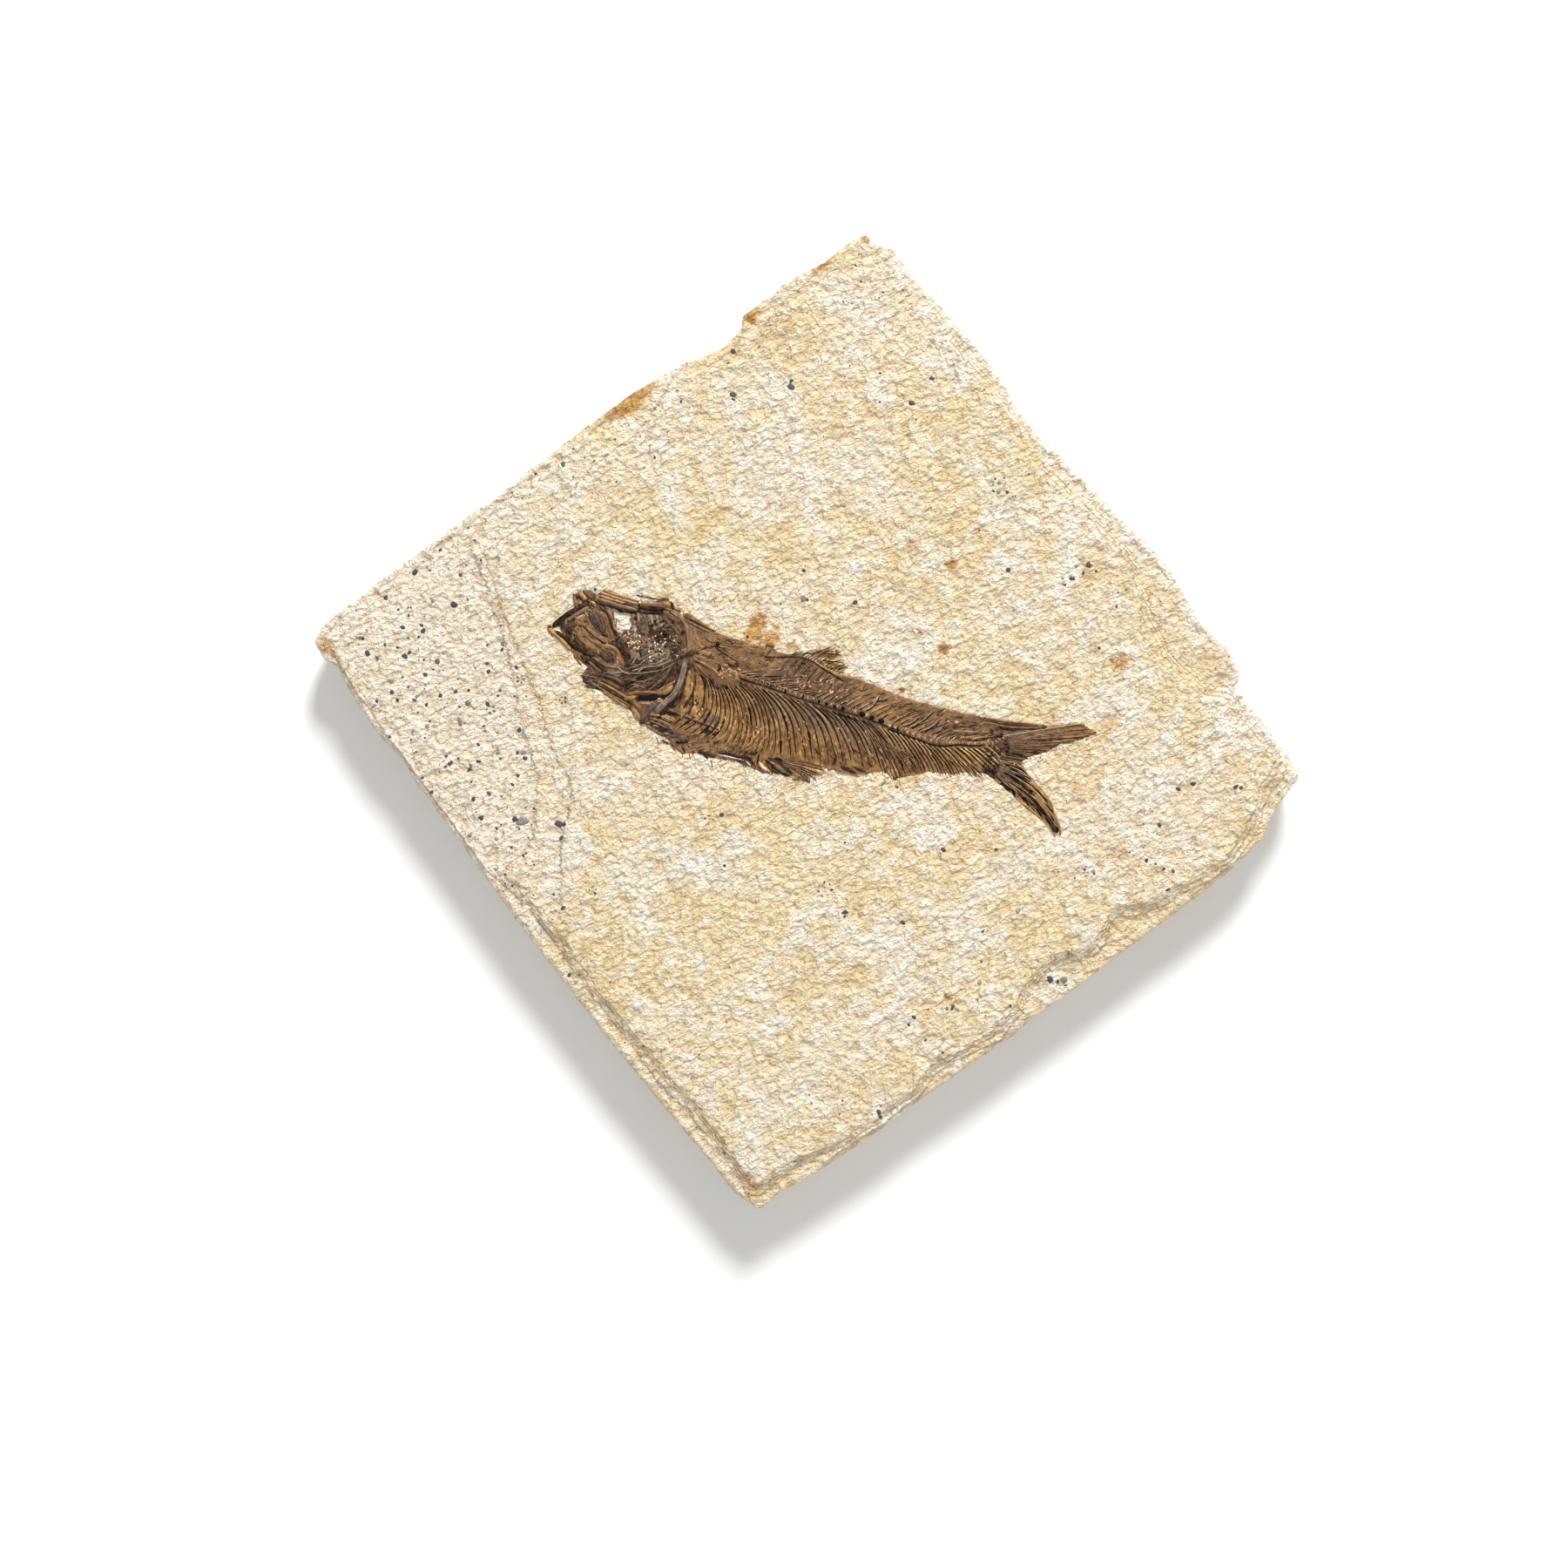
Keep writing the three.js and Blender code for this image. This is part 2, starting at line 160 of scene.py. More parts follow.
def signed_depth(points, ring):
    """How far inside an outline each point is; less than nothing outside it."""
    gap = edge_distance(points, ring)
    return np.where(inside(points, ring), gap, -gap)


def spaced(points, step=None, count=None, closed=False):
    """A polyline's points again, evenly spaced along it."""
    p = np.asarray(points, float)
    if closed:
        p = np.vstack([p, p[:1]])
    along = np.concatenate([[0], np.cumsum(np.hypot(*np.diff(p, axis=0).T))])
    count = count or max(2, int(round(along[-1] / step)) + 1)
    at = np.linspace(0, along[-1], count)
    out = np.column_stack([np.interp(at, along, p[:, k]) for k in range(p.shape[1])])
    return out[:-1] if closed else out


def curve(points, count):
    """A smooth curve through a few points (Catmull-Rom), evenly spaced."""
    p = np.asarray(points, float)
    if len(p) == 2:
        return spaced(p, count=count)
    ends = np.vstack([2 * p[0] - p[1], p, 2 * p[-1] - p[-2]])
    t = np.linspace(0, 1, 12, endpoint=False)[:, None]
    legs = []
    for a, b, c, d in zip(ends, ends[1:], ends[2:], ends[3:]):
        legs.append(0.5 * (2 * b + (c - a) * t + (2 * a - 5 * b + 4 * c - d) * t ** 2
                           + (3 * b - a - 3 * c + d) * t ** 3))
    return spaced(np.vstack([*legs, p[-1:]]), count=count)


def make_piece(name, vertices, faces, attributes, material, replaces):
    """A Blender object from millimetre vertices, riding on the part's one body."""
    mesh = bpy.data.meshes.new(name)
    mesh.from_pydata((np.asarray(vertices) * MM).tolist(), [], [list(map(int, f)) for f in faces])
    for key, values in attributes.items():
        values = np.asarray(values, np.float32)
        kind = "FLOAT" if values.ndim == 1 else "FLOAT_VECTOR"
        field = "value" if values.ndim == 1 else "vector"
        mesh.attributes.new(key, kind, "POINT").data.foreach_set(field, values.ravel())
    mesh.validate()
    mesh.update()
    mesh.polygons.foreach_set("use_smooth", [True] * len(mesh.polygons))
    mesh.materials.append(material)
    piece = bpy.data.objects.new(name, mesh)
    bpy.context.scene.collection.objects.link(piece)
    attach(piece, "root")
    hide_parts(replaces)
    return piece


# ---------------------------------------------------------------- what the CAD says

def cad_mesh(node):
    """A CAD node's vertices, in millimetres, and its faces."""
    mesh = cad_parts[node].data
    vertices = np.empty(len(mesh.vertices) * 3)
    mesh.vertices.foreach_get("co", vertices)
    return vertices.reshape(-1, 3) / MM, [tuple(p.vertices) for p in mesh.polygons]


def outline_at(vertices, faces, height):
    """The closed outline that a node's edges make at one height, counter-clockwise from above."""
    rounded = np.round(vertices, 3)
    keys = {}
    name = [keys.setdefault(tuple(p), len(keys)) for p in rounded]
    spots = np.array(list(keys))
    level = np.abs(spots[:, 2] - height) < 2e-3
    after = {}
    for face in faces:
        loop = [name[i] for i in face]
        for a, b, c in ((0, 1, 2), (1, 2, 0), (2, 0, 1)):
            p, q, r = loop[a], loop[b], loop[c]
            if level[p] and level[q] and spots[r, 2] > height + 1e-3:
                after[p] = q
    start = next(iter(after))
    ring, here = [start], after[start]
    while here != start:
        ring.append(here)
        here = after[here]
    return spots[ring, :2]


SLAB_VERTICES, SLAB_FACES = cad_mesh("matrix_slab")
SLAB_TREE = BVHTree.FromPolygons([Vector(p) for p in SLAB_VERTICES], SLAB_FACES)
SLAB_OUTLINE = outline_at(SLAB_VERTICES, SLAB_FACES, WIDEST)
FISH_OUTLINE = outline_at(*cad_mesh("fossil_fish"), POCKET_FLOOR)

# The hole where the eye was, with the stone showing in it, in the fish's frame.
ORBIT = [[7.1, 5.6], [8.3, 5.9], [9.6, 5.7], [11.2, 5.6], [12.2, 5.8], [12.6, 5.2], [12.3, 4.5], [13.0, 3.9],
         [13.5, 3.0], [12.6, 2.1], [11.6, 2.2], [10.5, 1.9], [9.7, 2.7], [9.1, 3.6], [8.5, 4.5], [7.9, 5.0]]
# Where the fins' rays lie straight on the stone, with hardly any film between them.
BARE_FINS = [
    [[37.4, 6.5], [39.6, 6.45], [42.0, 5.85], [44.2, 5.45], [47, 5.6], [46, 9.5], [40, 9.5]],
    [[40.2, -9.5], [43, -9.15], [47, -8.8], [47, -12.6], [41.2, -12.6], [42.4, -11]],
    [[80.6, 4.2], [82.4, 6.4], [83.0, 8.6], [87, 8.6], [86.5, 5], [81.5, 3.8]],
    [[81.4, -8.3], [82.6, -8.4], [83.4, -8.9], [84.6, -9.4], [84, -11], [80.5, -9.4]],
]

# ---------------------------------------------------------------- the limestone's shape

FACE_PITCH = 0.44
RIM_PITCH = 0.15
RIM_LINES = 8
SIDE_LEVELS = 9
# The face's rough length and width, which set how many grid lines it gets.
SLAB_SPANS = (112.0, 108.0)
# The sides below the widest level: [height, how far they are drawn in].
SIDE_PROFILE = [[4.2, 0.0], [2.8, 0.5], [1.4, 0.9], [0.35, 1.5], [0.0, 2.3]]
UNDERSIDE_RINGS = [0.97, 0.88, 0.7, 0.45, 0.2]
# How far the bedding steps stray from the CAD's, the height of a peeled flake, the share of the
# texture that is left at the very rim, and how much lower the stone lies under the fish.
STEP_WANDER = 0.8
FLAKE = 0.16
RIM_CALM = 0.6
FISH_SINK = 0.35
# The share of that sink which is taken back where a fin's rays lie on the bare stone.
FIN_RELIEF = 0.65
TEXTURE_HEIGHT = 0.2
# What the material reads as the height of the sides and the underside.
SIDE_PLANE = 5.0


def drop(tree, x, y):
    """The height of a CAD node's top under each point, or nan where there is none."""
    hits = (tree.ray_cast(Vector((a, b, ABOVE)), DOWN)[0] for a, b in zip(x.ravel(), y.ravel()))
    return np.array([math.nan if hit is None else hit.z for hit in hits]).reshape(x.shape)


def drawn_in(points, distance):
    """Outline points moved towards the middle of the slab."""
    return points * (1 - np.asarray(distance)[..., None] / HALF_WIDTH)


def crinkle(x, y):
    """The split face's texture: small domes and wrinkles, a few tenths of a millimetre high."""
    wx = x + 0.7 * noise(x, y, 2.7, 11) + 0.3 * noise(x, y, 1.2, 14)
    wy = 0.7 * y + 0.7 * noise(x, y, 2.7, 12) + 0.3 * noise(x, y, 1.2, 15)
    packed = 0.17 * domes(wx, wy, 1.5, 21)
    return packed - 0.13 + 0.18 * fractal(wx, wy, 2.0, 2, 31)


def slab_height(x, y):
    """The face's height, its height before the texture, and the texture alone."""
    edge = edge_distance(np.column_stack([x.ravel(), y.ravel()]), SLAB_OUTLINE)
    edge = edge.reshape(x.shape)
    loose = smooth(0.0, 2.0, edge)
    wander = STEP_WANDER * loose
    wx = x + wander * fractal(x, y, 5.0, 3, 41)
    wy = y + wander * fractal(x, y, 5.0, 3, 42)
    plane = drop(SLAB_TREE, wx, wy)
    plane = np.where(np.isnan(plane), WIDEST, plane)
    plane = np.where(np.abs(plane - POCKET_FLOOR) < 0.01, FACE_TOP, plane)
    plane = np.where(plane < FACE_LOW, FACE_LOW - 0.2 * (FACE_LOW - plane), plane)
    peel = fractal(x, y, 9.0, 4, 51, 0.6) + 0.9 * smooth(9, 1, edge) - 0.75
    flaked = FLAKE * smooth(0.0, 0.03, peel) + FLAKE * smooth(0.3, 0.33, peel)
    flaked = flaked * smooth(0.5, 1.5, edge)
    wave = 0.12 * fractal(x, y, 34.0, 2, 61) + 0.13 * fractal(x, y, 5.5, 2, 63)
    texture = crinkle(x, y)
    sunk = FISH_SINK * under_fish(x, y)
    calm = RIM_CALM + (1 - RIM_CALM) * loose
    return plane - flaked + wave + texture * calm - sunk, plane, texture


def under_fish(x, y):
    """1 where the fish hides the stone, 0 round it and in the eye hole, and between under the fins."""
    spots = to_fish(np.column_stack([x.ravel(), y.ravel()]))
    hidden = np.zeros(len(spots))
    near = (spots[:, 0] > -2) & (spots[:, 0] < 88) & (np.abs(spots[:, 1]) < 14)
    hidden[near] = smooth(0.1, 0.6, signed_depth(spots[near], to_fish(FISH_OUTLINE)))
    for number, gap in enumerate([ORBIT] + BARE_FINS):
        bare = smooth(-0.5, 0.0, signed_depth(spots[near], np.array(gap)))
        hidden[near] *= 1 - bare * (FIN_RELIEF if number else 1.0)
    return hidden.reshape(x.shape)


def side_stations(length):
    """Fractions along a side, close together near both ends, where the rim is broken."""
    fine = np.concatenate([np.full(RIM_LINES, RIM_PITCH), np.linspace(RIM_PITCH, FACE_PITCH, 6)])
    plain = length - 2 * fine.sum()
    count = int(round(plain / FACE_PITCH))
    steps = np.concatenate([fine, np.full(count, plain / count), fine[::-1]])
    return np.concatenate([[0], np.cumsum(steps)]) / length


def rough_outline():
    """The slab's outline with small breaks that only ever go inwards."""
    ring = spaced(SLAB_OUTLINE, step=0.3, closed=True)
    x, y = ring.T
    bite = 0.45 * np.abs(fractal(x, y, 4.0, 3, 71)) + 0.18 * np.abs(noise(x, y, 1.1, 75))
    return drawn_in(ring, bite)


def four_sides(ring):
    """The outline cut at its four corners: bottom, right, top and left, as open polylines."""
    x, y = ring.T
    corners = [np.argmin(x + y), np.argmax(x - y), np.argmax(x + y), np.argmin(x - y)]
    count = len(ring)

    def stretch(a, b):
        return ring[np.arange(a, b + 1 if b >= a else b + count + 1) % count]

    bottom, right = stretch(corners[0], corners[1]), stretch(corners[1], corners[2])
    top, left = stretch(corners[2], corners[3])[::-1], stretch(corners[3], corners[0])[::-1]
    return bottom, right, top, left


def at_fractions(line, fractions):
    """The points that lie at given fractions of an open polyline's length."""
    along = np.concatenate([[0], np.cumsum(np.hypot(*np.diff(line, axis=0).T))])
    at = fractions * along[-1]
    return np.column_stack([np.interp(at, along, line[:, 0]), np.interp(at, along, line[:, 1])])


def face_grid():
    """A grid of points that fills the outline, as x and y arrays (rows go up, columns right)."""
    bottom, right, top, left = four_sides(rough_outline())
    us, vs = (side_stations(span) for span in SLAB_SPANS)
    b, t = at_fractions(bottom, us)[None], at_fractions(top, us)[None]
    l, r = at_fractions(left, vs)[:, None], at_fractions(right, vs)[:, None]
    u, v = us[None, :, None], vs[:, None, None]
    corners = ((1 - u) * (1 - v) * b[:, :1] + u * (1 - v) * b[:, -1:]
               + (1 - u) * v * t[:, :1] + u * v * t[:, -1:])
    grid = (1 - v) * b + v * t + (1 - u) * l + u * r - corners
    return grid[..., 0], grid[..., 1]


def side_rings(rim, rim_z):
    """Rings from the rim down the broken side and under the slab, with thin laminae standing out."""
    heights, insets = np.array(SIDE_PROFILE).T
    rings = []
    for level in range(1, SIDE_LEVELS + 1):
        share = level / SIDE_LEVELS
        z = rim_z * (1 - share)
        profile = np.interp(-z, -heights, insets)
        x, y = rim.T
        beds = 0.18 * noise(z * 0 + 3.0, z + 0.05 * noise(x, y, 9, 82), 0.7, 81)
        rough = 0.35 * np.abs(fractal(x + 3 * z, y - 2 * z, 3.0, 3, 83)) + 0.1 * beds
        points = drawn_in(rim, profile + np.where(z > 0.01, rough + np.abs(beds), rough))
        rings.append(np.column_stack([points, np.maximum(z, 0)]))
    last = rings[-1]
    for scale in UNDERSIDE_RINGS:
        flat = last[:, :2] * scale
        rings.append(np.column_stack([flat, np.zeros(len(flat))]))
    return rings


def stain(x, y, spots):
    """Soft blots: each spot is [x, y, radius along X, radius along Y, strength]."""
    total = np.zeros_like(x)
    x = x + 0.5 * noise(x, y, 1.1, 121) + 0.3 * noise(x, y, 0.5, 122)
    y = y + 0.5 * noise(x, y, 1.1, 123) + 0.3 * noise(x, y, 0.5, 124)
    for sx, sy, rx, ry, strength in spots:
        reach = np.hypot((x - sx) / rx, (y - sy) / ry)
        total = np.maximum(total, strength * smooth(1.8, 0.3, reach))
    return total


# Blots, [x, y, radius along X, radius along Y, strength]. The NAPE tables are in the fish's frame.
NAPE_STAINS = [[30.4, 9.5, 1.1, 1.7, 1.0], [31.0, 8.0, 1.3, 1.0, 0.9], [29.7, 8.0, 0.4, 1.3, 0.8],
               [33.4, 9.7, 0.6, 0.6, 0.9], [33.5, 8.0, 1.0, 0.8, 1.1], [36.6, 7.6, 1.0, 0.8, 1.0],
               [32.6, 7.2, 1.7, 0.8, 0.8], [29.8, 7.1, 0.5, 0.5, 1.3], [48.0, 5.6, 2.6, 0.5, 0.6],
               [54.5, 5.7, 0.5, 0.4, 0.8], [42.4, 7.0, 2.3, 1.1, 0.55], [43.8, 6.6, 1.2, 1.2, 0.5]]
OCHRE_STAINS = [[-5.9, 30, 0.8, 0.9, 0.9], [-11.6, 26.8, 2.2, 1.4, 0.45], [3.7, 21, 1.0, 0.8, 1.0],
                [-0.8, 19.9, 0.7, 0.6, 0.8], [21.7, 41.3, 1.6, 1.5, 0.65], [19, 43, 1.0, 0.8, 0.4],
                [28, 34.2, 1.6, 2.6, 0.5], [-56.2, 6, 2.0, 4.5, 0.9], [-54.6, 42.5, 0.9, 2.4, 0.8],
                [-55.2, 29, 1.6, 1.4, 0.8], [-50.3, 32.5, 1.8, 1.4, 0.5], [-31, 40, 0.8, 0.7, 0.5],
                [33.4, 24, 2.2, 1.2, 0.5], [44.5, 23, 2.5, 2.0, 0.4], [46.0, -11, 0.5, 0.6, 0.9],
                [-53.8, 50, 1.0, 0.9, 0.8], [-54.5, -53.6, 2.6, 1.2, 0.6], [31, 53.5, 5, 2, 0.4],
                [50, -52.5, 4, 1.5, 0.5], [-8, 12.5, 1.5, 1.2, 0.3]]
BROWN_STAINS = [[6.9, 46.5, 0.5, 0.45, 1.0], [5.9, 44.9, 0.3, 0.3, 0.9], [7.7, 45.2, 0.4, 0.4, 0.6],
                [6.9, 43.2, 0.5, 0.4, 0.9], [6.0, 42, 0.3, 0.3, 0.7], [6.9, 41.8, 0.3, 0.3, 0.7],
                [0.2, -18.6, 0.6, 0.6, 0.55]]
NAPE_PALE = [[10.8, 4.2, 2.6, 2.0, 1.4], [13.4, 8.5, 2.1, 0.32, 1.2], [22.5, 8.3, 2.0, 1.0, 0.6],
             [39, 7.6, 2.5, 1.4, 0.5], [8.5, 9.0, 2.5, 0.8, 0.5]]
PALE_PATCHES = [[36.2, 28, 1.1, 12, 0.7], [36.8, 8, 1.1, 10, 0.8], [38.3, -12, 1.2, 9, 1.1],
                [39.2, -27, 1.3, 8, 1.1], [42.8, -10, 2.6, 9, 0.9], [43.2, -27, 2.4, 9, 0.9],
                [43.5, -41, 3, 7, 0.8],
                [-36, 50.5, 8, 2.5, 0.8], [-40, 45, 7, 4, 0.5], [-50, -6, 6, 8, 0.5],
                [-12, 42.5, 4, 3, 0.5], [-30, 14, 3, 5, 0.45], [20, 41, 5, 3, 0.4],
                [46, 30, 8, 3, 0.7], [-47, 22, 4, 2, 0.6], [-8, -45.5, 4, 3, 0.8],
                [10, 54, 4, 2.5, 0.8], [26, -17, 7, 3, 0.4], [-2, 13, 4, 3, 0.5],
                [-30, -15.5, 2.2, 1.6, 1.0], [54, 5, 2.5, 4.5, 0.7]]


def stone_attributes(x, y, z, plane, texture):
    """What the limestone's material reads: the texture's height, for painted shade in creases and painted
    highlight on crests, bedding planes, the pinkish corner, and blots.
    """
    # Only the low planes near the outline's lower left corner are pinkish.
    corner = smooth(7.93, 7.6, plane) * smooth(-20, -24, y) * smooth(4, 0, x)
    near_fish = to_fish(np.column_stack([x, y]))
    # The ochre fades down the sides.
    soaked = smooth(2.5, 7.0, z + 1.2 * noise(x, y, 2.5, 125))
    # The top rim is chipped, and paler.
    edge = edge_distance(np.column_stack([x, y]), SLAB_OUTLINE) + 0.7 * noise(x, y, 2.2, 126)
    rim_pale = smooth(2.4, 1.4, edge) * smooth(46, 50, y)
    ochre = soaked * np.maximum(stain(x, y, OCHRE_STAINS), stain(*near_fish.T, NAPE_STAINS))
    pale = np.maximum(stain(x, y, PALE_PATCHES), stain(*near_fish.T, NAPE_PALE))
    pale = np.maximum(pale, 1.1 * rim_pale)
    return {
        "crease": texture / TEXTURE_HEIGHT,
        "corner": corner,
        "plane": plane,
        "blots": np.column_stack([ochre, stain(x, y, BROWN_STAINS), pale]),
    }


def make_slab(material):
    """The whole stone: its face, its broken sides and its underside."""
    x, y = face_grid()
    rows, columns = x.shape
    z, plane, texture = slab_height(x, y)
    top = np.column_stack([x.ravel(), y.ravel(), z.ravel()])
    index = np.arange(rows * columns).reshape(rows, columns)
    faces = np.column_stack([index[:-1, :-1].ravel(), index[:-1, 1:].ravel(),
                             index[1:, 1:].ravel(), index[1:, :-1].ravel()]).tolist()
    rim = np.concatenate([index[0, :-1], index[:-1, -1], index[-1, :0:-1], index[:0:-1, 0]])
    rings = side_rings(top[rim, :2], top[rim, 2])
    lower = np.vstack(rings)
    count = len(rim)
    upper = rim
    for number in range(len(rings)):
        below = np.arange(count) + len(top) + number * count
        faces += np.column_stack([upper, below, np.roll(below, -1), np.roll(upper, -1)]).tolist()
        upper = below
    centre = len(top) + len(lower)
    faces += np.column_stack([upper, np.full(count, centre), np.roll(upper, -1)]).tolist()
    vertices = np.vstack([top, lower, [[0, 0, 0]]])
    extra = len(vertices) - len(top)
    values = stone_attributes(*vertices.T,
                              np.concatenate([plane.ravel(), np.full(extra, SIDE_PLANE)]),
                              np.concatenate([texture.ravel(), np.zeros(extra)]))
    return make_piece("limestone_slab", vertices, faces, values, material, "matrix_slab")


# ---------------------------------------------------------------- dark mineral specks

# The bigger specks, [x, y, radius], drawn larger by SPECK_SIZE.
SPECK_SIZE = 1.25
# A speck's buried foot, its edge, its shoulder and its top, over the stone.
SPECK_LIFTS = (-0.08, 0.035, 0.07, 0.09)
SPECKS = [
     [-15.1, -46.2, 0.62], [-15.8, -46.7, 0.4], [-14.6, -45.7, 0.4], [-11.1, -41.9, 0.5], [-10.6, -41.3,
    0.3], [-9.2, -42.9, 0.3], [-20.3, -43.9, 0.3], [-23.1, -39.4, 0.38], [-22.3, -39.9, 0.3], [-23.7,
    -40.3, 0.26], [-26.3, -45.8, 0.4], [-26.1, -47.6, 0.36], [-26.6, -47.1, 0.3], [-34.3, -41.7, 0.36],
    [-32.7, -44.4, 0.52], [-38.3, -31.9, 0.32], [-47.6, -34.1, 0.42], [-55.1, -35.9, 0.4], [-47.3, -40.3,
    0.4], [-48.1, -40.0, 0.26], [-54.8, -41.7, 0.34], [-42.3, -41.4, 0.36], [-42.7, -39.8, 0.24], [-44.2,
    -48.9, 0.32], [-35.3, -48.8, 0.3], [-45.9, -45.0, 0.36], [-41.8, -44.1, 0.3], [-26.9, -54.4, 0.3],
    [-18.1, -53.9, 0.3], [-54.4, -7.8, 0.36], [-42.6, 27.2, 0.52], [-43.2, 27.7, 0.3], [-47.0, 19.3, 0.5],
    [-46.4, 18.9, 0.3], [-52.3, 23.5, 0.38], [-29.3, 40.2, 0.4], [-30.3, 45.0, 0.3], [-15.6, 8.8, 0.46],
    [-15.1, 9.2, 0.24], [-19.0, 11.5, 0.26], [-10.3, 14.7, 0.3], [0.1, 36.4, 0.3], [-12.2, 42.6, 0.34],
    [-11.4, 43.3, 0.26], [-10.4, 42.4, 0.3], [-9.5, 43.5, 0.26], [-10.9, 41.9, 0.2], [18.0, 40.0, 0.26],
    [47.6, 43.7, 0.4], [48.2, 44.3, 0.28], [43.2, 38.8, 0.36], [42.5, 36.5, 0.3], [45.0, 30.9, 0.34],
    [48.1, 26.0, 0.34], [49.4, 26.8, 0.22], [50.8, 27.3, 0.2], [52.0, 28.2, 0.22], [53.7, 25.9, 0.32],
    [55.1, 4.8, 0.5], [53.7, 3.3, 0.5], [54.6, 3.9, 0.3], [42.3, 5.7, 0.4], [41.5, -0.4, 0.26], [27.9, 2.3,
    0.36], [32.8, 8.8, 0.26], [44.5, 18.5, 0.26], [32.9, -9.4, 0.34], [26.3, -15.4, 0.42], [26.8, -15.9,
    0.24], [45.5, -16.9, 0.36], [45.9, -18.2, 0.22], [47.9, -11.3, 0.36], [48.5, -10.9, 0.26], [47.5,
    -12.0, 0.24], [47.4, -5.7, 0.3], [53.7, -30.0, 0.36], [54.5, -30.3, 0.3], [55.2, -30.1, 0.26], [55.6,
    -31.9, 0.3], [3.0, -21.3, 0.3], [-0.6, -49.2, 0.36], [-0.9, -50.4, 0.24], [8.2, -54.8, 0.3], [9.7,
    -54.6, 0.26], [9.4, -25.7, 0.24], [6.9, 46.6, 0.42], [6.0, 45.0, 0.26], [7.4, 45.2, 0.3], [7.0, 43.3,
    0.4], [6.1, 42.2, 0.26], [7.1, 41.8, 0.22], [8.4, 46.9, 0.2], [5.4, 46.0, 0.16],
]
# Specks in a circle: [x, y, radius, how many].
SPECK_RINGS = [[21.6, -15.7, 1.05, 7], [-31.5, -39.4, 0.6, 5], [-32.3, -33.0, 0.5, 5],
               [-25.8, -29.8, 0.5, 5], [0.1, -44.0, 0.55, 5], [2.3, -23.2, 0.6, 4]]
# Strewn specks: [x from, x to, y from, y to, how many, largest radius].
SPECK_FIELDS = [
    [-57, -10, -57, -26, 430, 0.46], [-57, -50, -30, 0, 60, 0.3], [-57, -40, -5, 30, 70, 0.28],
    [-56, -20, 34, 56, 70, 0.26], [-10, 2, -56, -46, 40, 0.28], [5, 56, -56, -46, 60, 0.24],
    [44, 57, -46, 10, 90, 0.28], [40, 57, 10, 54, 70, 0.24], [-20, 56, 46, 56, 50, 0.22],
    [-56, 56, -56, 56, 420, 0.17], [16, 32, -24, -8, 26, 0.26], [-22, -6, 4, 16, 22, 0.2],
    [-14, -8, 40, 45, 18, 0.22],
]
# The low corner of the face, where the specks lie thickest: the first field stays inside it.
CORNER = [[-57, -27], [-45, -28], [-30, -33], [-18, -41], [-10, -48], [-9, -57], [-57, -57]]


def speck_list():
    """Every speck as [x, y, radius], without those off the face or on the fish."""
    random = np.random.default_rng(77)
    specks = [(x, y, SPECK_SIZE * radius) for x, y, radius in SPECKS]
    for x, y, radius, count in SPECK_RINGS:
        for turn in np.linspace(0, 2 * math.pi, count, endpoint=False) + random.uniform(0, 1):
            specks.append((x + radius * math.cos(turn), y + radius * math.sin(turn),
                           random.uniform(0.16, 0.32)))
    for number, (x0, x1, y0, y1, count, largest) in enumerate(SPECK_FIELDS):
        for _ in range(count):
            x, y = random.uniform(x0, x1), random.uniform(y0, y1)
            if number == 0 and not inside(np.array([[x, y]]), CORNER)[0]:
                continue
            specks.append((x, y, 0.08 + (largest - 0.08) * random.random() ** 3.6))
    spots = np.array(specks)
    clear = signed_depth(spots[:, :2], SLAB_OUTLINE) > 1.0
    clear &= signed_depth(to_fish(spots[:, :2]), to_fish(FISH_OUTLINE)) < -spots[:, 2]
    return spots[clear]


def make_specks(slab, material):
    """Thin dark crusts that lie on the stone's surface."""
    surface = BVHTree.FromObject(slab, bpy.context.evaluated_depsgraph_get())
    random = np.random.default_rng(78)
    vertices, faces, kinds = [], [], []
    for x, y, radius in speck_list():
        sides = 7 if radius > 0.2 else 5
        turns = np.linspace(0, 2 * math.pi, sides, endpoint=False) + random.uniform(0, 6)
        reach = radius * random.uniform(0.6, 1.3, sides)
        squash, lean = random.uniform(0.6, 1.0), random.uniform(0, math.pi)
        dx, dy = reach * np.cos(turns), reach * np.sin(turns) * squash
        ring = np.column_stack([x + dx * math.cos(lean) - dy * math.sin(lean),
                                y + dx * math.sin(lean) + dy * math.cos(lean)])
        inner = np.array([x, y]) + 0.6 * (ring - [x, y])
        start = len(vertices)
        for points, lift in zip((ring, ring, inner, np.array([[x, y]])), SPECK_LIFTS):
            for px, py in points:
                hit = surface.ray_cast(Vector((px, py, ABOVE)) * MM, DOWN)[0]
                vertices.append((px, py, hit.z / MM + lift))
        first, second, third = (start + sides * level for level in range(3))
        faces.append(list(range(first, first + sides))[::-1])
        for i in range(sides):
            j = (i + 1) % sides
            faces += [[first + i, first + j, second + j, second + i],
                      [second + i, second + j, third + j, third + i],
                      [third + i, third + j, start + 3 * sides]]
        kinds += [random.random()] * (3 * sides + 1)
    return make_piece("mineral_specks", vertices, faces, {"kind": kinds}, material,
                      "matrix_slab")


# ---------------------------------------------------------------- the fish: a film with bones on it

FILM_PITCH = 0.17
FILM_EDGE = 0.06
FILM_SWELL = 0.3
BONE_SINK = 0.12
# The grain's coordinates: drawn out along a bone, and packed across it.
GRAIN_STRETCH = 0.16
GRAIN_ACROSS = 1.4
# A bone's rings lie about this far apart, within a least and a largest number of them.
BONE_STEP = 0.4
FEWEST_RINGS = 5
MOST_RINGS = 44
TALLEST_BONE = 0.24
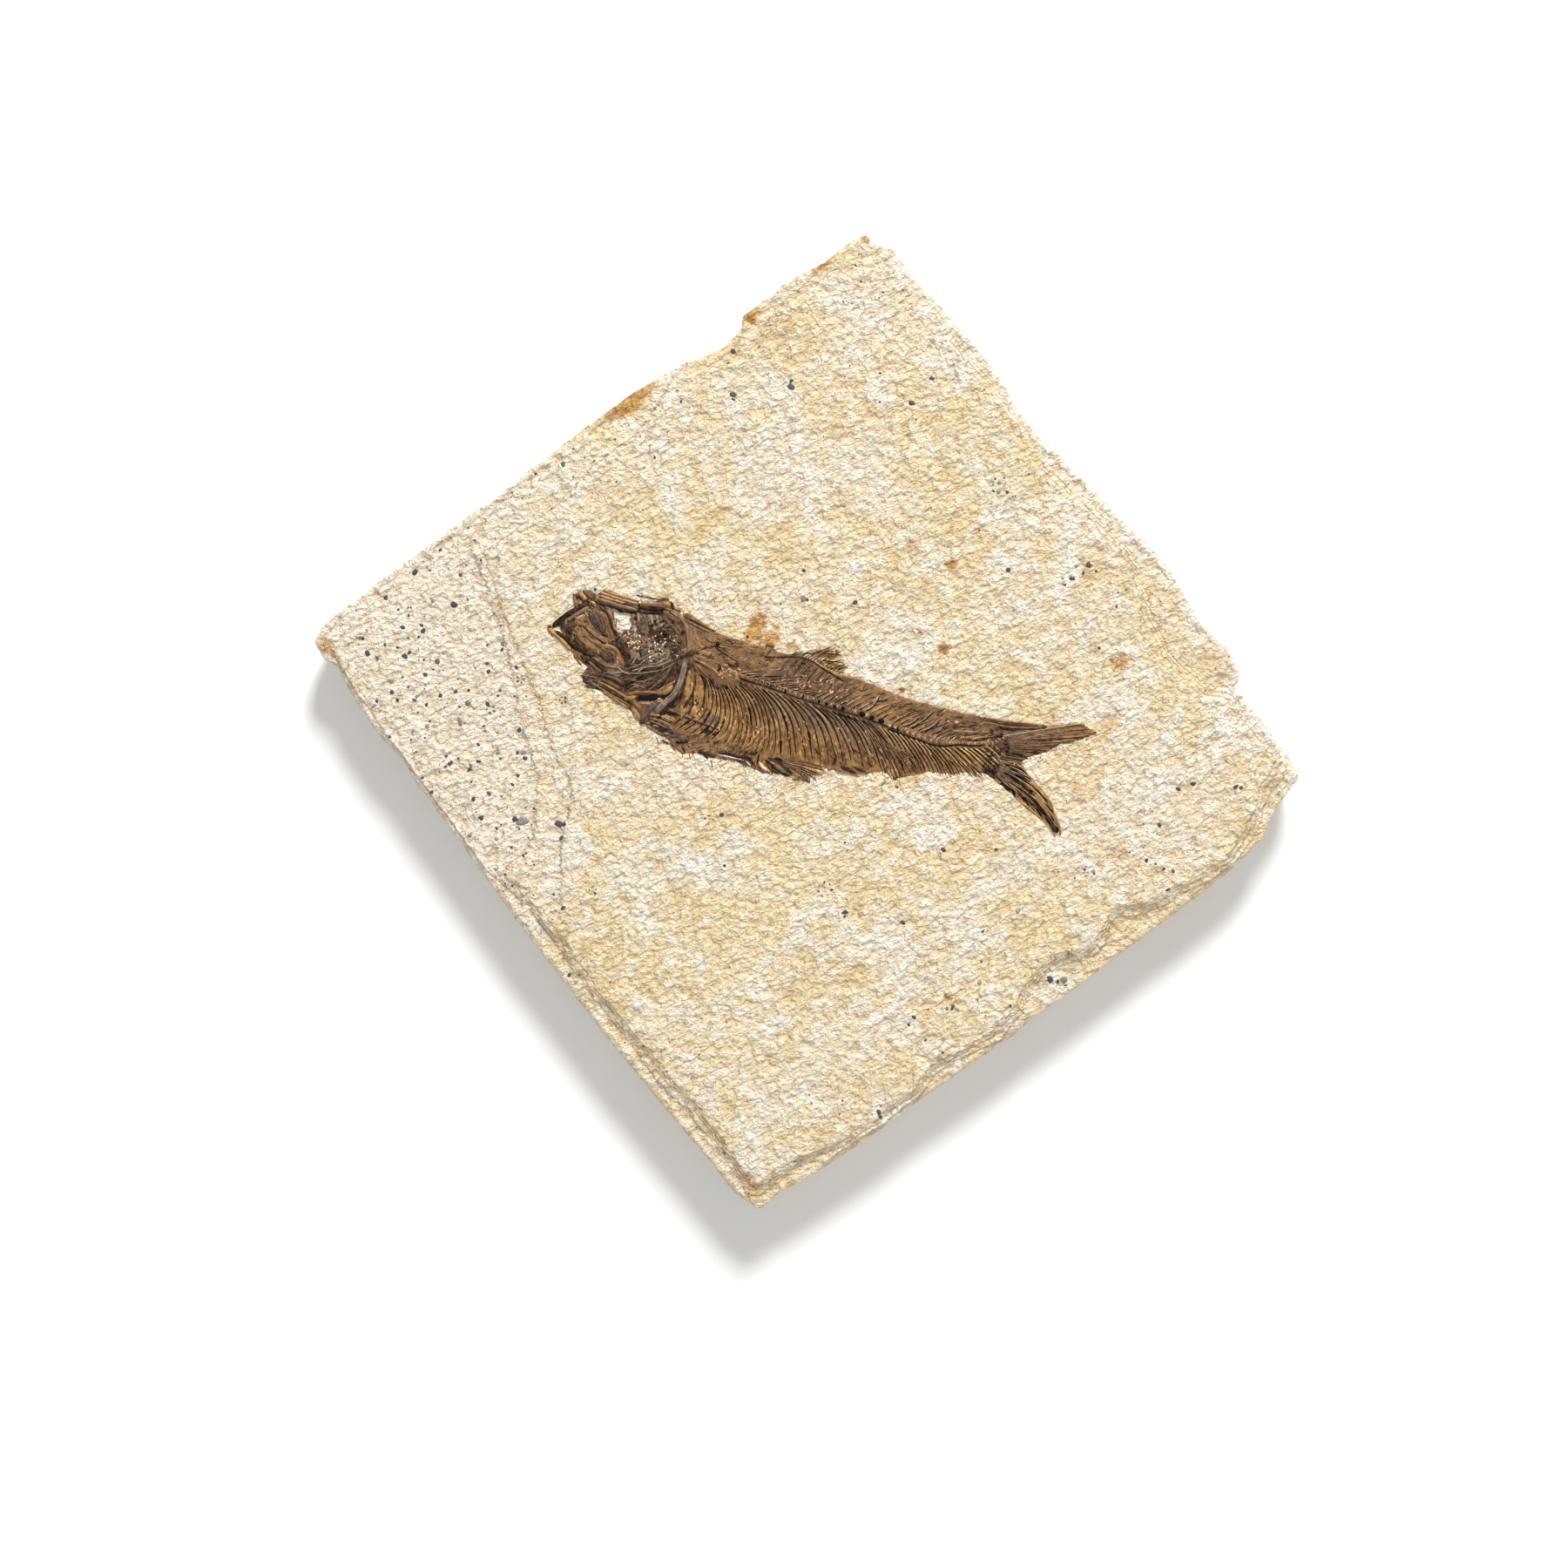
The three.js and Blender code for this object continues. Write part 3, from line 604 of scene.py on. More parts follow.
# The steps along the film's outlines, and how far its own points keep from them.
OUTLINE_STEP = 0.2
OUTLINE_GAP = 0.09
FILM_THICK = 0.1
FISH_RING = to_fish(FISH_OUTLINE)
BACKBONE = [[21, 1.0], [24, 0.95], [30, 0.6], [38, 0.3], [44, 0.1], [50, 0.05], [55, -0.4], [58, -0.6],
            [61, -0.85], [63, -0.65], [65, 0.0], [67, 0.35], [68.5, 0.8], [70, 1.6], [73, 2.8]]
# The flank's ribs, [x, steep, lean, fall]: for each millimetre down they run back by lean, less fall
# times the depth, and by steep more where they leave the backbone.
LEAN = [[20, 0, 0.2, 0.09], [22, 0.3, 0.25, 0.1], [25, 2, 0.75, 0.17], [28, 2.6, 1.25, 0.2],
        [31, 3, 1.35, 0.18], [34, 2.4, 1.05, 0.125], [37, 2.6, 1.15, 0.135], [40, 4, 0.75, 0.045],
        [43, 4, 0.8, 0.045], [46, 3.2, 0.78, 0.045], [49, 2.6, 1.1, 0.09], [52, 2.6, 1.3, 0.12],
        [55, 3, 1.25, 0.05], [58, 1.6, 1.2, 0.03], [61, 0.8, 1.8, 0], [64, 0, 2, 0], [70, 0, 1.9, 0]]
STEEP_REACH = 1.1
MID_FLANK = 5.0
# How far back the spines above the backbone run for each millimetre they rise: [x, lean].
SPINE_LEAN = [[22, 2.4], [34, 2.8], [40, 2.2], [43, 0.9], [52, 1.1], [58, 1.15], [61, 1.3], [64, 2.0],
              [67, 2.4], [70, 2.4]]


def column(rows, number, x):
    """A table's column, read between its rows."""
    table = np.asarray(rows, float)
    return np.interp(x, table[:, 0], table[:, number])


def ground(points):
    """The height the bones lie on: the film's middle swells a little, the stone round it is flat."""
    depth = signed_depth(np.asarray(points, float), FISH_RING)
    return FACE_TOP + FILM_EDGE * smooth(-0.2, 0.3, depth) + FILM_SWELL * smooth(0.3, 4.0, depth)


def slant(x, below):
    """How far back a rib runs for each millimetre down, at a depth below the backbone."""
    steep, lean, fall = (column(LEAN, number, x) for number in (1, 2, 3))
    return steep * np.exp(-below / STEEP_REACH) + lean - fall * below


def swept(x, start, end):
    """Where the rib that passes x at one depth below the backbone lies at another depth."""
    step = (end - start) / 16
    for number in range(16):
        x = x + slant(x, start + step * (number + 0.5)) * step
    return x


class Bones:
    """Many small bones gathered into one mesh, each with its grain and tint."""

    def __init__(self, seed):
        self.vertices, self.faces, self.grain, self.tint = [], [], [], []
        self.count = 0
        self.marks = []
        self.random = np.random.default_rng(seed)

    def add(self, points, width, tone, grey=0.0, gold=0.0, height=None, tip=None, fade=None, sides=5,
            wobble=0.05):
        """A bone along a smooth path; tip is its end width, fade the tint it ends with."""
        points = np.asarray(points, float)
        length = np.hypot(*np.diff(points, axis=0).T).sum()
        count = int(np.clip(length / BONE_STEP, FEWEST_RINGS, MOST_RINGS))
        path = curve(points, count)
        ahead = np.gradient(path, axis=0)
        ahead /= np.maximum(np.hypot(*ahead.T), 1e-9)[:, None]
        across = np.column_stack([-ahead[:, 1], ahead[:, 0]])
        along = np.linspace(0, length, count)
        key = self.random.uniform(0, 900)
        if wobble and length > 0.8:
            sway = wobble * fractal(along, along * 0 + key, 1.6, 2, 5) * np.sin(math.pi * along / length)
            path = path + across * sway[:, None]
        share = along / length
        wide = width + ((width if tip is None else tip) - width) * share
        near_end = np.minimum(along, length - along) / (0.6 * width)
        rounding = np.sqrt(np.clip(1 - (1 - np.clip(near_end, 0.0, 1)) ** 2, 0.02, 1))
        wide = wide * rounding * (1 + 0.16 * noise(along, along * 0 + key, 0.9, 9))
        high = min(0.5 * width, TALLEST_BONE) if height is None else height
        high = high * rounding * np.clip(wide / width, 0.4, 1)
        base = ground(path)
        angles = np.linspace(math.pi, 0, sides)
        rings = []
        for angle in angles:
            side = np.cos(angle) * wide / 2
            rings.append(np.column_stack([path + across * side[:, None], base + np.sin(angle) * high]))
        for sign in (1, -1):
            under = path + across * (sign * wide / 2)[:, None]
            rings.append(np.column_stack([under, base - BONE_SINK]))
        loops = len(rings)
        block = np.stack(rings, axis=1).reshape(-1, 3)
        block[:, :2] = to_row(block[:, :2])
        start = self.count
        index = start + np.arange(count * loops).reshape(count, loops)
        over = np.roll(index, -1, axis=1)
        self.faces += np.stack([index[:-1], over[:-1], over[1:], index[1:]], axis=-1).reshape(-1, 4).tolist()
        self.faces += [index[0, ::-1].tolist(), index[-1].tolist()]
        self.vertices.append(block)
        spread = np.concatenate([np.cos(angles), [1, -1]]) * width / 2
        grain = np.empty((count, loops, 3))
        grain[..., 0] = along[:, None] * GRAIN_STRETCH + key
        grain[..., 1] = spread[None] * GRAIN_ACROSS
        grain[..., 2] = key * 0.37
        self.grain.append(grain.reshape(-1, 3))
        first = np.array([tone, grey, gold])
        last = first if fade is None else np.array(fade)
        tint = first + (last - first) * share[:, None] ** 1.3
        self.tint.append(np.repeat(tint, loops, axis=0))
        self.marks.append((path, tint))
        self.count += len(block)

    def batch(self, rows, **extra):
        """A bone for each row of add's values."""
        for row in rows:
            self.add(*row, **extra)

    def piece(self, name, material):
        values = {"grain": np.vstack(self.grain), "tint": np.vstack(self.tint)}
        return make_piece(name, np.vstack(self.vertices), self.faces, values, material,
                          "fossil_fish")


def follow(points, marks):
    """For each point the nearest bone's direction, tint and distance, so the film takes after it."""
    best = np.full(len(points), FAR)
    grain = np.zeros((len(points), 3))
    tint = np.zeros((len(points), 3))
    for number, (path, tints) in enumerate(marks):
        low, high = path.min(0) - 2.2, path.max(0) + 2.2
        near = np.nonzero(((points > low) & (points < high)).all(axis=1))[0]
        if not len(near):
            continue
        spots = points[near]
        along = 0.0
        for p, q, colour in zip(path[:-1:2], np.vstack([path[2::2], path[-1:]]), tints[::2]):
            d = q - p
            size = math.hypot(*d)
            if size < 1e-6:
                continue
            t = np.clip(((spots - p) @ d) / size ** 2, 0, 1)
            gap = np.hypot(*(spots - p - t[:, None] * d).T)
            closer = gap < best[near]
            hit = near[closer]
            best[hit] = gap[closer]
            side = ((spots[closer] - p) @ np.array([-d[1], d[0]])) / size
            grain[hit] = np.column_stack([(along + t[closer] * size) * GRAIN_STRETCH, side * GRAIN_ACROSS,
                                          np.full(len(hit), number * 3.7)])
            tint[hit] = colour
            along += size
    return grain, tint, best


# Strokes of the head: [path, width, tone, grey, gold]. Tone runs from 0, black, to 1, cream.
JAWS = [
    ([[-0.3, 0.1], [1.2, -0.5], [2.7, -1.3], [4.2, -2.2]], 0.7, 0.58, 0, 0.8),
    ([[0.9, 0.05], [2.6, -0.6], [4.2, -1.4], [6.2, -1.95], [8, -2.0]], 0.6, 0.06, 0.3, 0),
    ([[-0.25, 0.3], [0.35, 0.5]], 0.6, 0.25, 0, 0.4),
    ([[0.4, -0.3], [0.9, -1.1]], 0.16, 0.3, 0, 0.5),
    ([[0.4, 0.5], [1.6, 2.2], [2.8, 3.6], [3.8, 4.7], [4.8, 5.6]], 0.9, 0.08, 0.4, 0),
    ([[2.3, 1.9], [3.0, 2.7], [3.9, 3.8], [5.1, 5.0]], 0.6, 0.42, 0.5, 0.1),
    ([[2.0, 1.4], [3.1, 2.4], [4.4, 3.9]], 0.18, 0.06, 0.4, 0),
    ([[1.6, 1.4], [2.6, 0.9], [3.6, 0.1]], 1.1, 0.14, 0.5, 0),
    ([[2.1, 0.3], [3.3, 1.7]], 0.9, 0.2, 0.6, 0),
    ([[0.8, 0.12], [1.9, 0.1]], 0.22, 0.95, 0.5, 0),
    ([[2.2, 6.3], [2.6, 5.4], [3.3, 4.4], [3.6, 3.8]], 0.55, 0.42, 0.1, 0.4),
    ([[2.1, 6.35], [2.6, 5.6]], 0.35, 0.1, 0.3, 0),
    ([[2.8, 6.8], [3.6, 6.3], [4.4, 5.6]], 0.7, 0.55, 0, 0.5),
    ([[3.4, 7.2], [4.6, 6.6], [5.6, 6.2]], 0.6, 0.3, 0.2, 0.1),
    ([[4.6, 7.4], [5.2, 6.6], [5.3, 5.6]], 0.6, 0.2, 0.5, 0),
    ([[5.0, 7.85], [5.5, 7.65]], 0.45, 0.06, 0.6, 0),
    ([[3.0, 5.9], [4.4, 5.8], [5.4, 5.2]], 0.3, 0.08, 0.2, 0),
    ([[3.2, 5.2], [3.9, 5.0]], 0.45, 0.62, 0, 0.3),
    ([[5.0, 5.9], [5.8, 5.6]], 0.35, 0.72, 0.1, 0.2),
    ([[3.5, 4.6], [4.2, 5.2]], 0.4, 0.12, 0.2, 0.1),
]
CHEEK = [
    ([[4.6, 2.5], [5.3, 1.8], [6.6, 1.2], [8.0, 0.8], [9.4, 0.7]], 0.9, 0.52, 0, 0.6, 0.1),
    ([[4.0, 1.5], [5.1, 0.3], [6.6, -0.5], [7.8, -1.0]], 1.1, 0.6, 0, 0.75, 0.14),
    ([[4.9, 1.5], [5.9, 0.6], [7.2, 0.05], [8.6, -0.15]], 0.8, 0.54, 0, 0.65, 0.14),
    ([[3.6, 2.6], [4.3, 3.1], [4.9, 3.5]], 0.75, 0.62, 0, 0.8, 0.12),
    ([[5.3, 4.6], [6.3, 3.8], [7.2, 2.8], [8.2, 1.5]], 1.9, 0.27, 0.65, 0, 0.16),
    ([[5.0, 3.35], [5.8, 2.5], [7.0, 1.75], [8.2, 1.3]], 0.2, 0.5, 0.2, 0.2),
    ([[5.6, 4.8], [6.8, 4.3], [7.7, 3.1], [8.4, 2.0]], 0.22, 0.45, 0.5, 0.1),
    ([[6.3, 3.9], [7.0, 3.1], [7.7, 2.1]], 0.3, 0.14, 0.5, 0),
    ([[7.6, 4.6], [8.4, 3.5], [9.1, 2.3], [9.9, 1.3]], 0.45, 0.56, 0, 0.5),
    ([[6.2, 5.6], [7.15, 5.2], [8.3, 4.4], [9.3, 3.0], [10.0, 2.0]], 0.36, 0.08, 0.2, 0),
    ([[8.0, 5.0], [8.9, 4.2], [9.6, 3.1], [10.4, 2.2], [11.4, 1.6], [12.2, 1.7]], 0.26, 0.62, 0.2, 0.3),
    ([[4.7, 2.3], [5.4, 1.6], [6.6, 1.0], [8.0, 0.5], [9.1, 0.3], [10.4, 0.55]], 0.3, 0.06, 0.1, 0),
    ([[4.2, 1.7], [5.3, 0.5], [6.8, -0.25], [8.2, -0.6]], 0.14, 0.12, 0.1, 0.1),
    ([[4.2, 0.8], [5.2, -0.3], [6.6, -1.0]], 0.14, 0.16, 0.1, 0.1),
    ([[5.6, 1.4], [6.6, 0.6], [7.8, 0.2]], 0.12, 0.2, 0, 0.2),
    ([[8.4, -0.9], [9.6, -1.5], [10.8, -2.1]], 1.6, 0.16, 0.5, 0, 0.12),
    ([[8.5, -0.5], [9.3, 0.05], [10.3, -0.1], [11.3, -0.75], [11.9, -1.8], [12.5, -2.1]], 0.5, 0.58, 0, 0.6),
    ([[9.1, -0.7], [10.2, -0.75], [11.0, -1.4]], 0.26, 0.4, 0.1, 0.4),
    ([[11.2, -1.2], [11.6, -1.7]], 0.34, 0.95, 0, 0.4),
    ([[7.7, -2.3], [9.3, -2.9], [11, -3.0], [12.6, -2.6]], 0.34, 0.5, 0.3, 0.3),
    ([[7.2, -2.6], [9.2, -3.5], [10.4, -4.1]], 0.26, 0.1, 0.2, 0),
    ([[7.0, -3.0], [8.6, -3.8], [9.8, -4.3]], 0.34, 0.46, 0.1, 0.4),
    ([[5.3, -2.0], [6.0, -2.6]], 0.75, 0.66, 0, 0.85, 0.1),
    ([[6.6, -3.0], [7.5, -3.4]], 0.8, 0.12, 0.4, 0, 0.08),
    ([[4.6, -2.5], [5.4, -3.4], [6.6, -4.2]], 0.4, 0.42, 0, 0.5),
    ([[6.2, -2.3], [7.6, -2.9], [9.0, -3.3]], 0.2, 0.14, 0.2, 0.1),
    ([[10.3, 1.5], [11.3, 1.1], [12.0, 0.3]], 0.8, 0.14, 0.5, 0, 0.08),
    ([[10.6, 0.6], [11.6, 0.0], [12.2, -0.8]], 0.5, 0.1, 0.4, 0),
    ([[12.0, -0.2], [12.8, -0.7], [13.3, -1.6]], 0.8, 0.12, 0.4, 0, 0.08),
    ([[10.2, 2.1], [11.2, 1.8], [12.1, 1.9]], 0.3, 0.3, 0.5, 0.1),
    ([[8.4, 5.6], [8.8, 5.0], [9.1, 4.3], [9.3, 3.6]], 0.34, 0.42, 0, 0.4),
    ([[8.7, 5.5], [9.1, 4.7]], 0.2, 0.2, 0, 0.3),
]
ROOF = [
    ([[8.3, 6.62], [9.4, 6.6], [10.6, 6.7]], 0.3, 0.04, 0.1, 0),
    ([[9.8, 7.1], [11, 7.15], [12.0, 7.3]], 0.22, 0.08, 0.1, 0),
    ([[6.9, 8.1], [8.1, 8.1], [9.3, 7.95]], 0.22, 0.42, 0.1, 0.4),
    ([[5.6, 5.95], [8, 5.9], [10.5, 5.8], [12.3, 6.1]], 0.4, 0.03, 0.1, 0.1),
    ([[9.6, 6.75], [10.8, 6.95], [12.2, 7.1]], 0.42, 0.12, 0.8, 0),
    ([[9.8, 6.55], [11.0, 6.7], [12.2, 6.8]], 0.16, 0.55, 0.9, 0),
    ([[12.4, 6.3], [14, 6.6], [16.2, 7.2]], 0.55, 0.06, 0.2, 0.1),
    ([[12.5, 6.9], [14.2, 7.2], [16.3, 7.7]], 0.45, 0.1, 0.4, 0),
    ([[12.5, 7.3], [14.4, 7.75], [16.3, 8.1]], 0.3, 0.42, 0, 0.4),
    ([[12.3, 7.6], [14.2, 8.0], [16.0, 8.45]], 0.3, 0.56, 0.1, 0.4),
    ([[12.3, 7.35], [12.5, 6.6], [12.3, 6.0]], 0.3, 0.05, 0.2, 0),
    ([[12.1, 7.7], [12.6, 7.6]], 0.35, 0.9, 0.3, 0),
    ([[11.4, 8.6], [13.2, 8.75], [15.2, 8.9]], 0.2, 0.22, 0.5, 0),
    ([[15.2, 8.9], [15.9, 9.4], [16.7, 9.2]], 0.4, 0.4, 0.2, 0.3),
    ([[15.6, 8.4], [16.5, 8.6], [17.3, 8.3]], 0.7, 0.6, 0, 0.6),
    ([[16.9, 9.1], [17.3, 8.4], [17.8, 8.0]], 0.5, 0.1, 0.1, 0),
    ([[17.4, 8.3], [18.2, 8.2], [18.9, 8.1]], 0.4, 0.5, 0.1, 0.3),
    ([[18.8, 7.9], [19.1, 7.5]], 0.42, 0.95, 0.3, 0),
    ([[16.4, 7.9], [17.6, 7.7], [18.8, 7.2], [19.8, 6.4], [20.5, 5.2], [21.0, 4.0], [21.3, 2.9]], 0.24,
     0.58, 0.5, 0.1),
    ([[16.6, 7.6], [17.8, 7.3], [19.0, 6.7], [19.9, 5.8], [20.6, 4.6], [21.1, 3.2]], 0.28, 0.24, 0.4, 0),
    ([[16.3, 7.3], [17.6, 7.5], [18.6, 7.0]], 0.24, 0.62, 0, 0.7),
    ([[17.0, 8.0], [18.4, 7.6], [19.8, 6.8]], 0.3, 0.5, 0, 0.6),
    ([[16.7, 6.9], [17.8, 6.7], [19.2, 6.2]], 1.0, 0.28, 0.3, 0.1),
    ([[19.2, 8.0], [20.6, 7.8], [22.3, 7.2], [24.4, 6.6]], 0.4, 0.45, 0.1, 0.4),
    ([[19.4, 7.6], [21, 7.2], [23, 6.8], [24.8, 6.5]], 0.32, 0.26, 0.1, 0.2),
    ([[20, 6.9], [22, 6.5], [24, 6.2]], 0.34, 0.4, 0.1, 0.4),
    ([[12.4, 6.2], [12.8, 5.2], [13.3, 4.4]], 0.4, 0.58, 0.8, 0),
    ([[13.2, 6.2], [13.9, 5.4], [14.4, 4.3]], 0.34, 0.42, 0.8, 0),
    ([[14.3, 6.4], [14.8, 5.6], [15.2, 4.6]], 0.4, 0.58, 0.8, 0),
    ([[15.3, 6.5], [15.8, 5.8]], 0.4, 0.52, 0.6, 0),
    ([[12.2, 5.6], [12.4, 4.9]], 0.5, 0.16, 0.5, 0),
    ([[13.4, 5.2], [13.8, 4.2], [13.5, 3.2]], 0.9, 0.36, 0.9, 0, 0.08),
    ([[15.1, 5.2], [15.1, 4.4]], 0.5, 0.02, 0.2, 0),
    ([[16.9, 4.0], [17.6, 4.2]], 0.5, 0.0, 0.2, 0),
]
GILL_COVER = [
    ([[19.6, 0.7], [17.8, -0.8], [15.9, -1.6], [13.8, -2.9]], 0.3, 0.6, 0.85, 0, 0.2),
    ([[20.0, 0.4], [18.6, -1.2], [16.4, -2.3], [14.6, -3.0], [12.6, -3.3]], 0.22, 0.55, 0.85, 0, 0.2),
    ([[18.3, 0.6], [17.4, -0.6], [15.9, -1.1]], 0.34, 0.56, 0.8, 0, 0.2),
    ([[14.4, 0.2], [14.0, -0.8], [13.6, -2.2]], 0.2, 0.66, 0.6, 0, 0.2),
    ([[13.7, 0.4], [13.6, -0.6], [13.0, -1.9]], 0.16, 0.6, 0.7, 0, 0.2),
    ([[15.6, -1.6], [15.1, -2.4], [14.9, -3.0]], 0.3, 0.7, 0.5, 0, 0.2),
    ([[15.4, -0.4], [14.8, -1.6], [13.2, -2.5]], 0.18, 0.62, 0.8, 0, 0.2),
    ([[16.6, 0.9], [15.6, 0.2], [14.6, -1.0]], 0.2, 0.58, 0.8, 0, 0.2),
    ([[11.4, -2.6], [12.6, -3.2], [14.2, -3.4]], 0.2, 0.6, 0.8, 0, 0.2),
    ([[9.4, -4.2], [11.2, -3.9], [13.0, -3.1]], 0.18, 0.55, 0.8, 0, 0.2),
    ([[17.0, -4.8], [15.4, -4.6], [14.0, -4.9]], 0.18, 0.5, 0.5, 0.3, 0.2),
    ([[20.7, -2.6], [19.5, -3.7], [18.5, -4.6]], 0.25, 0.62, 0.3, 0.3),
    ([[20.6, -3.2], [20.1, -4.2], [19.1, -5.0]], 0.8, 0.55, 0, 0.95),
    ([[20.9, -3.2], [20.6, -4.3], [19.9, -5.2]], 0.3, 0.08, 0.1, 0),
    ([[15.9, -6.55], [17.0, -6.2], [18.2, -5.9], [19.8, -5.2]], 0.75, -0.1, 0, 0, 0.06),
    ([[17.9, -5.6], [18.9, -5.4], [19.6, -5.1]], 0.4, -0.1, 0, 0, 0.06),
    ([[14.2, -6.5], [15.3, -5.8], [17, -5.3], [18.6, -4.9]], 0.5, 0.46, 0, 0.7),
    ([[14.3, -5.6], [15.1, -4.9], [15.9, -4.6]], 0.3, 0.56, 0.3, 0.3),
    ([[13.8, -7.2], [15, -6.7], [15.7, -6.2]], 0.7, 0.5, 0, 0.8),
    ([[18.9, -5.9], [19.4, -5.6]], 0.3, 0.85, 0.2, 0.4),
    ([[8.2, -6.1], [10, -6.6], [12, -7.2], [14.2, -7.7], [15.4, -8.2]], 0.36, 0.42, 0, 0.5),
    ([[9.4, -6.1], [11.4, -6.6], [13.4, -7.1], [15.3, -7.6]], 0.3, 0.14, 0.1, 0.1),
    ([[9.6, -5.7], [11.6, -6.1], [13.5, -6.7], [15.4, -7.1]], 0.42, 0.54, 0, 0.7),
    ([[10.4, -6.95], [12.6, -7.6], [15, -8.35]], 0.34, 0.58, 0, 0.7),
    ([[12, -7.0], [13.8, -7.5], [15.2, -7.95]], 0.2, 0.14, 0, 0.1),
    ([[9.5, -5.2], [11, -5.4], [13.4, -5.9]], 0.5, 0.32, 0.1, 0.4),
    ([[9.6, -4.6], [11.5, -4.6], [13.4, -5.0]], 0.5, 0.26, 0.3, 0.2),
    ([[11.8, -5.2], [12.8, -5.0], [13.4, -4.3]], 1.0, 0.12, 0.4, 0, 0.08),
    ([[13.6, -4.0], [15.4, -4.0], [17.2, -3.8], [19, -2.9]], 0.6, 0.3, 0.5, 0.2, 0.1),
    ([[21.45, 0.7], [21.6, -0.6], [21.6, -2.2], [21.35, -3.9], [20.7, -5.4], [19.8, -6.7], [19.0, -8.0]],
     0.95, 0.54, 1.0, 0, 0.34),
    ([[21.2, 0.3], [21.35, -1.2], [21.3, -2.6], [21.0, -4.0], [20.3, -5.4]], 0.2, 0.72, 1.0, 0, 0.42),
    ([[18.9, -6.4], [18.3, -7.6], [17.7, -8.8], [17.3, -9.8]], 0.75, 0.38, 0.9, 0),
    ([[17.1, -10.0], [18, -9.7]], 0.6, 0.12, 0.5, 0),
    ([[22.2, 0.3], [22.2, -2], [22.0, -4], [21.3, -5.9], [20.3, -7.6], [19.6, -9]], 0.3, 0.06, 0.2, 0),
    ([[20.95, 0.3], [20.95, -2.0], [20.7, -3.4]], 0.22, 0.1, 0.2, 0),
    ([[15.6, -8.2], [16.4, -9.0], [17.0, -9.8]], 0.8, 0.6, 0.1, 0.5),
    ([[16.5, -7.3], [17.3, -7.05], [18.3, -6.8]], 0.5, 0.6, 0.1, 0.4),
    ([[15.6, -7.4], [16.6, -7.9], [17.2, -8.6]], 0.44, 0.42, 0.2, 0.4),
    ([[18.5, -8.4], [20, -8.2], [22, -8.4]], 0.26, 0.68, 0, 0.5),
    ([[18.8, -8.9], [20.4, -8.9], [22, -9.2]], 0.26, 0.62, 0, 0.5),
    ([[18.6, -8.65], [20.2, -8.55], [22, -8.8]], 0.2, 0.1, 0.1, 0),
    ([[18.3, -9.4], [20, -9.5], [21.6, -9.8]], 0.4, 0.28, 0.6, 0),
    ([[19.8, -10.2], [20.8, -10.1], [21.6, -9.9]], 0.6, 0.1, 0.4, 0),
    ([[18.2, -10.05], [19.6, -10.6], [21.5, -11]], 0.35, 0.42, 0.3, 0.2),
    ([[9.2, -5.2], [7.8, -5.3], [6.5, -5.5]], 0.3, 0.46, 0.5, 0.1),
    ([[9, -4.6], [7.6, -4.7], [7.0, -4.5]], 0.26, 0.28, 0.5, 0),
    ([[9, -5.9], [8, -6.2], [7.1, -6.3]], 0.36, 0.1, 0.4, 0),
    ([[9.6, -6.6], [8.6, -6.8], [7.5, -6.9]], 0.28, 0.18, 0.4, 0),
    ([[9, -5.0], [8, -4.2], [7.4, -3.9]], 0.24, 0.42, 0.4, 0),
    ([[8.5, -5.6], [7.3, -5.8]], 0.3, 0.16, 0.4, 0),
]
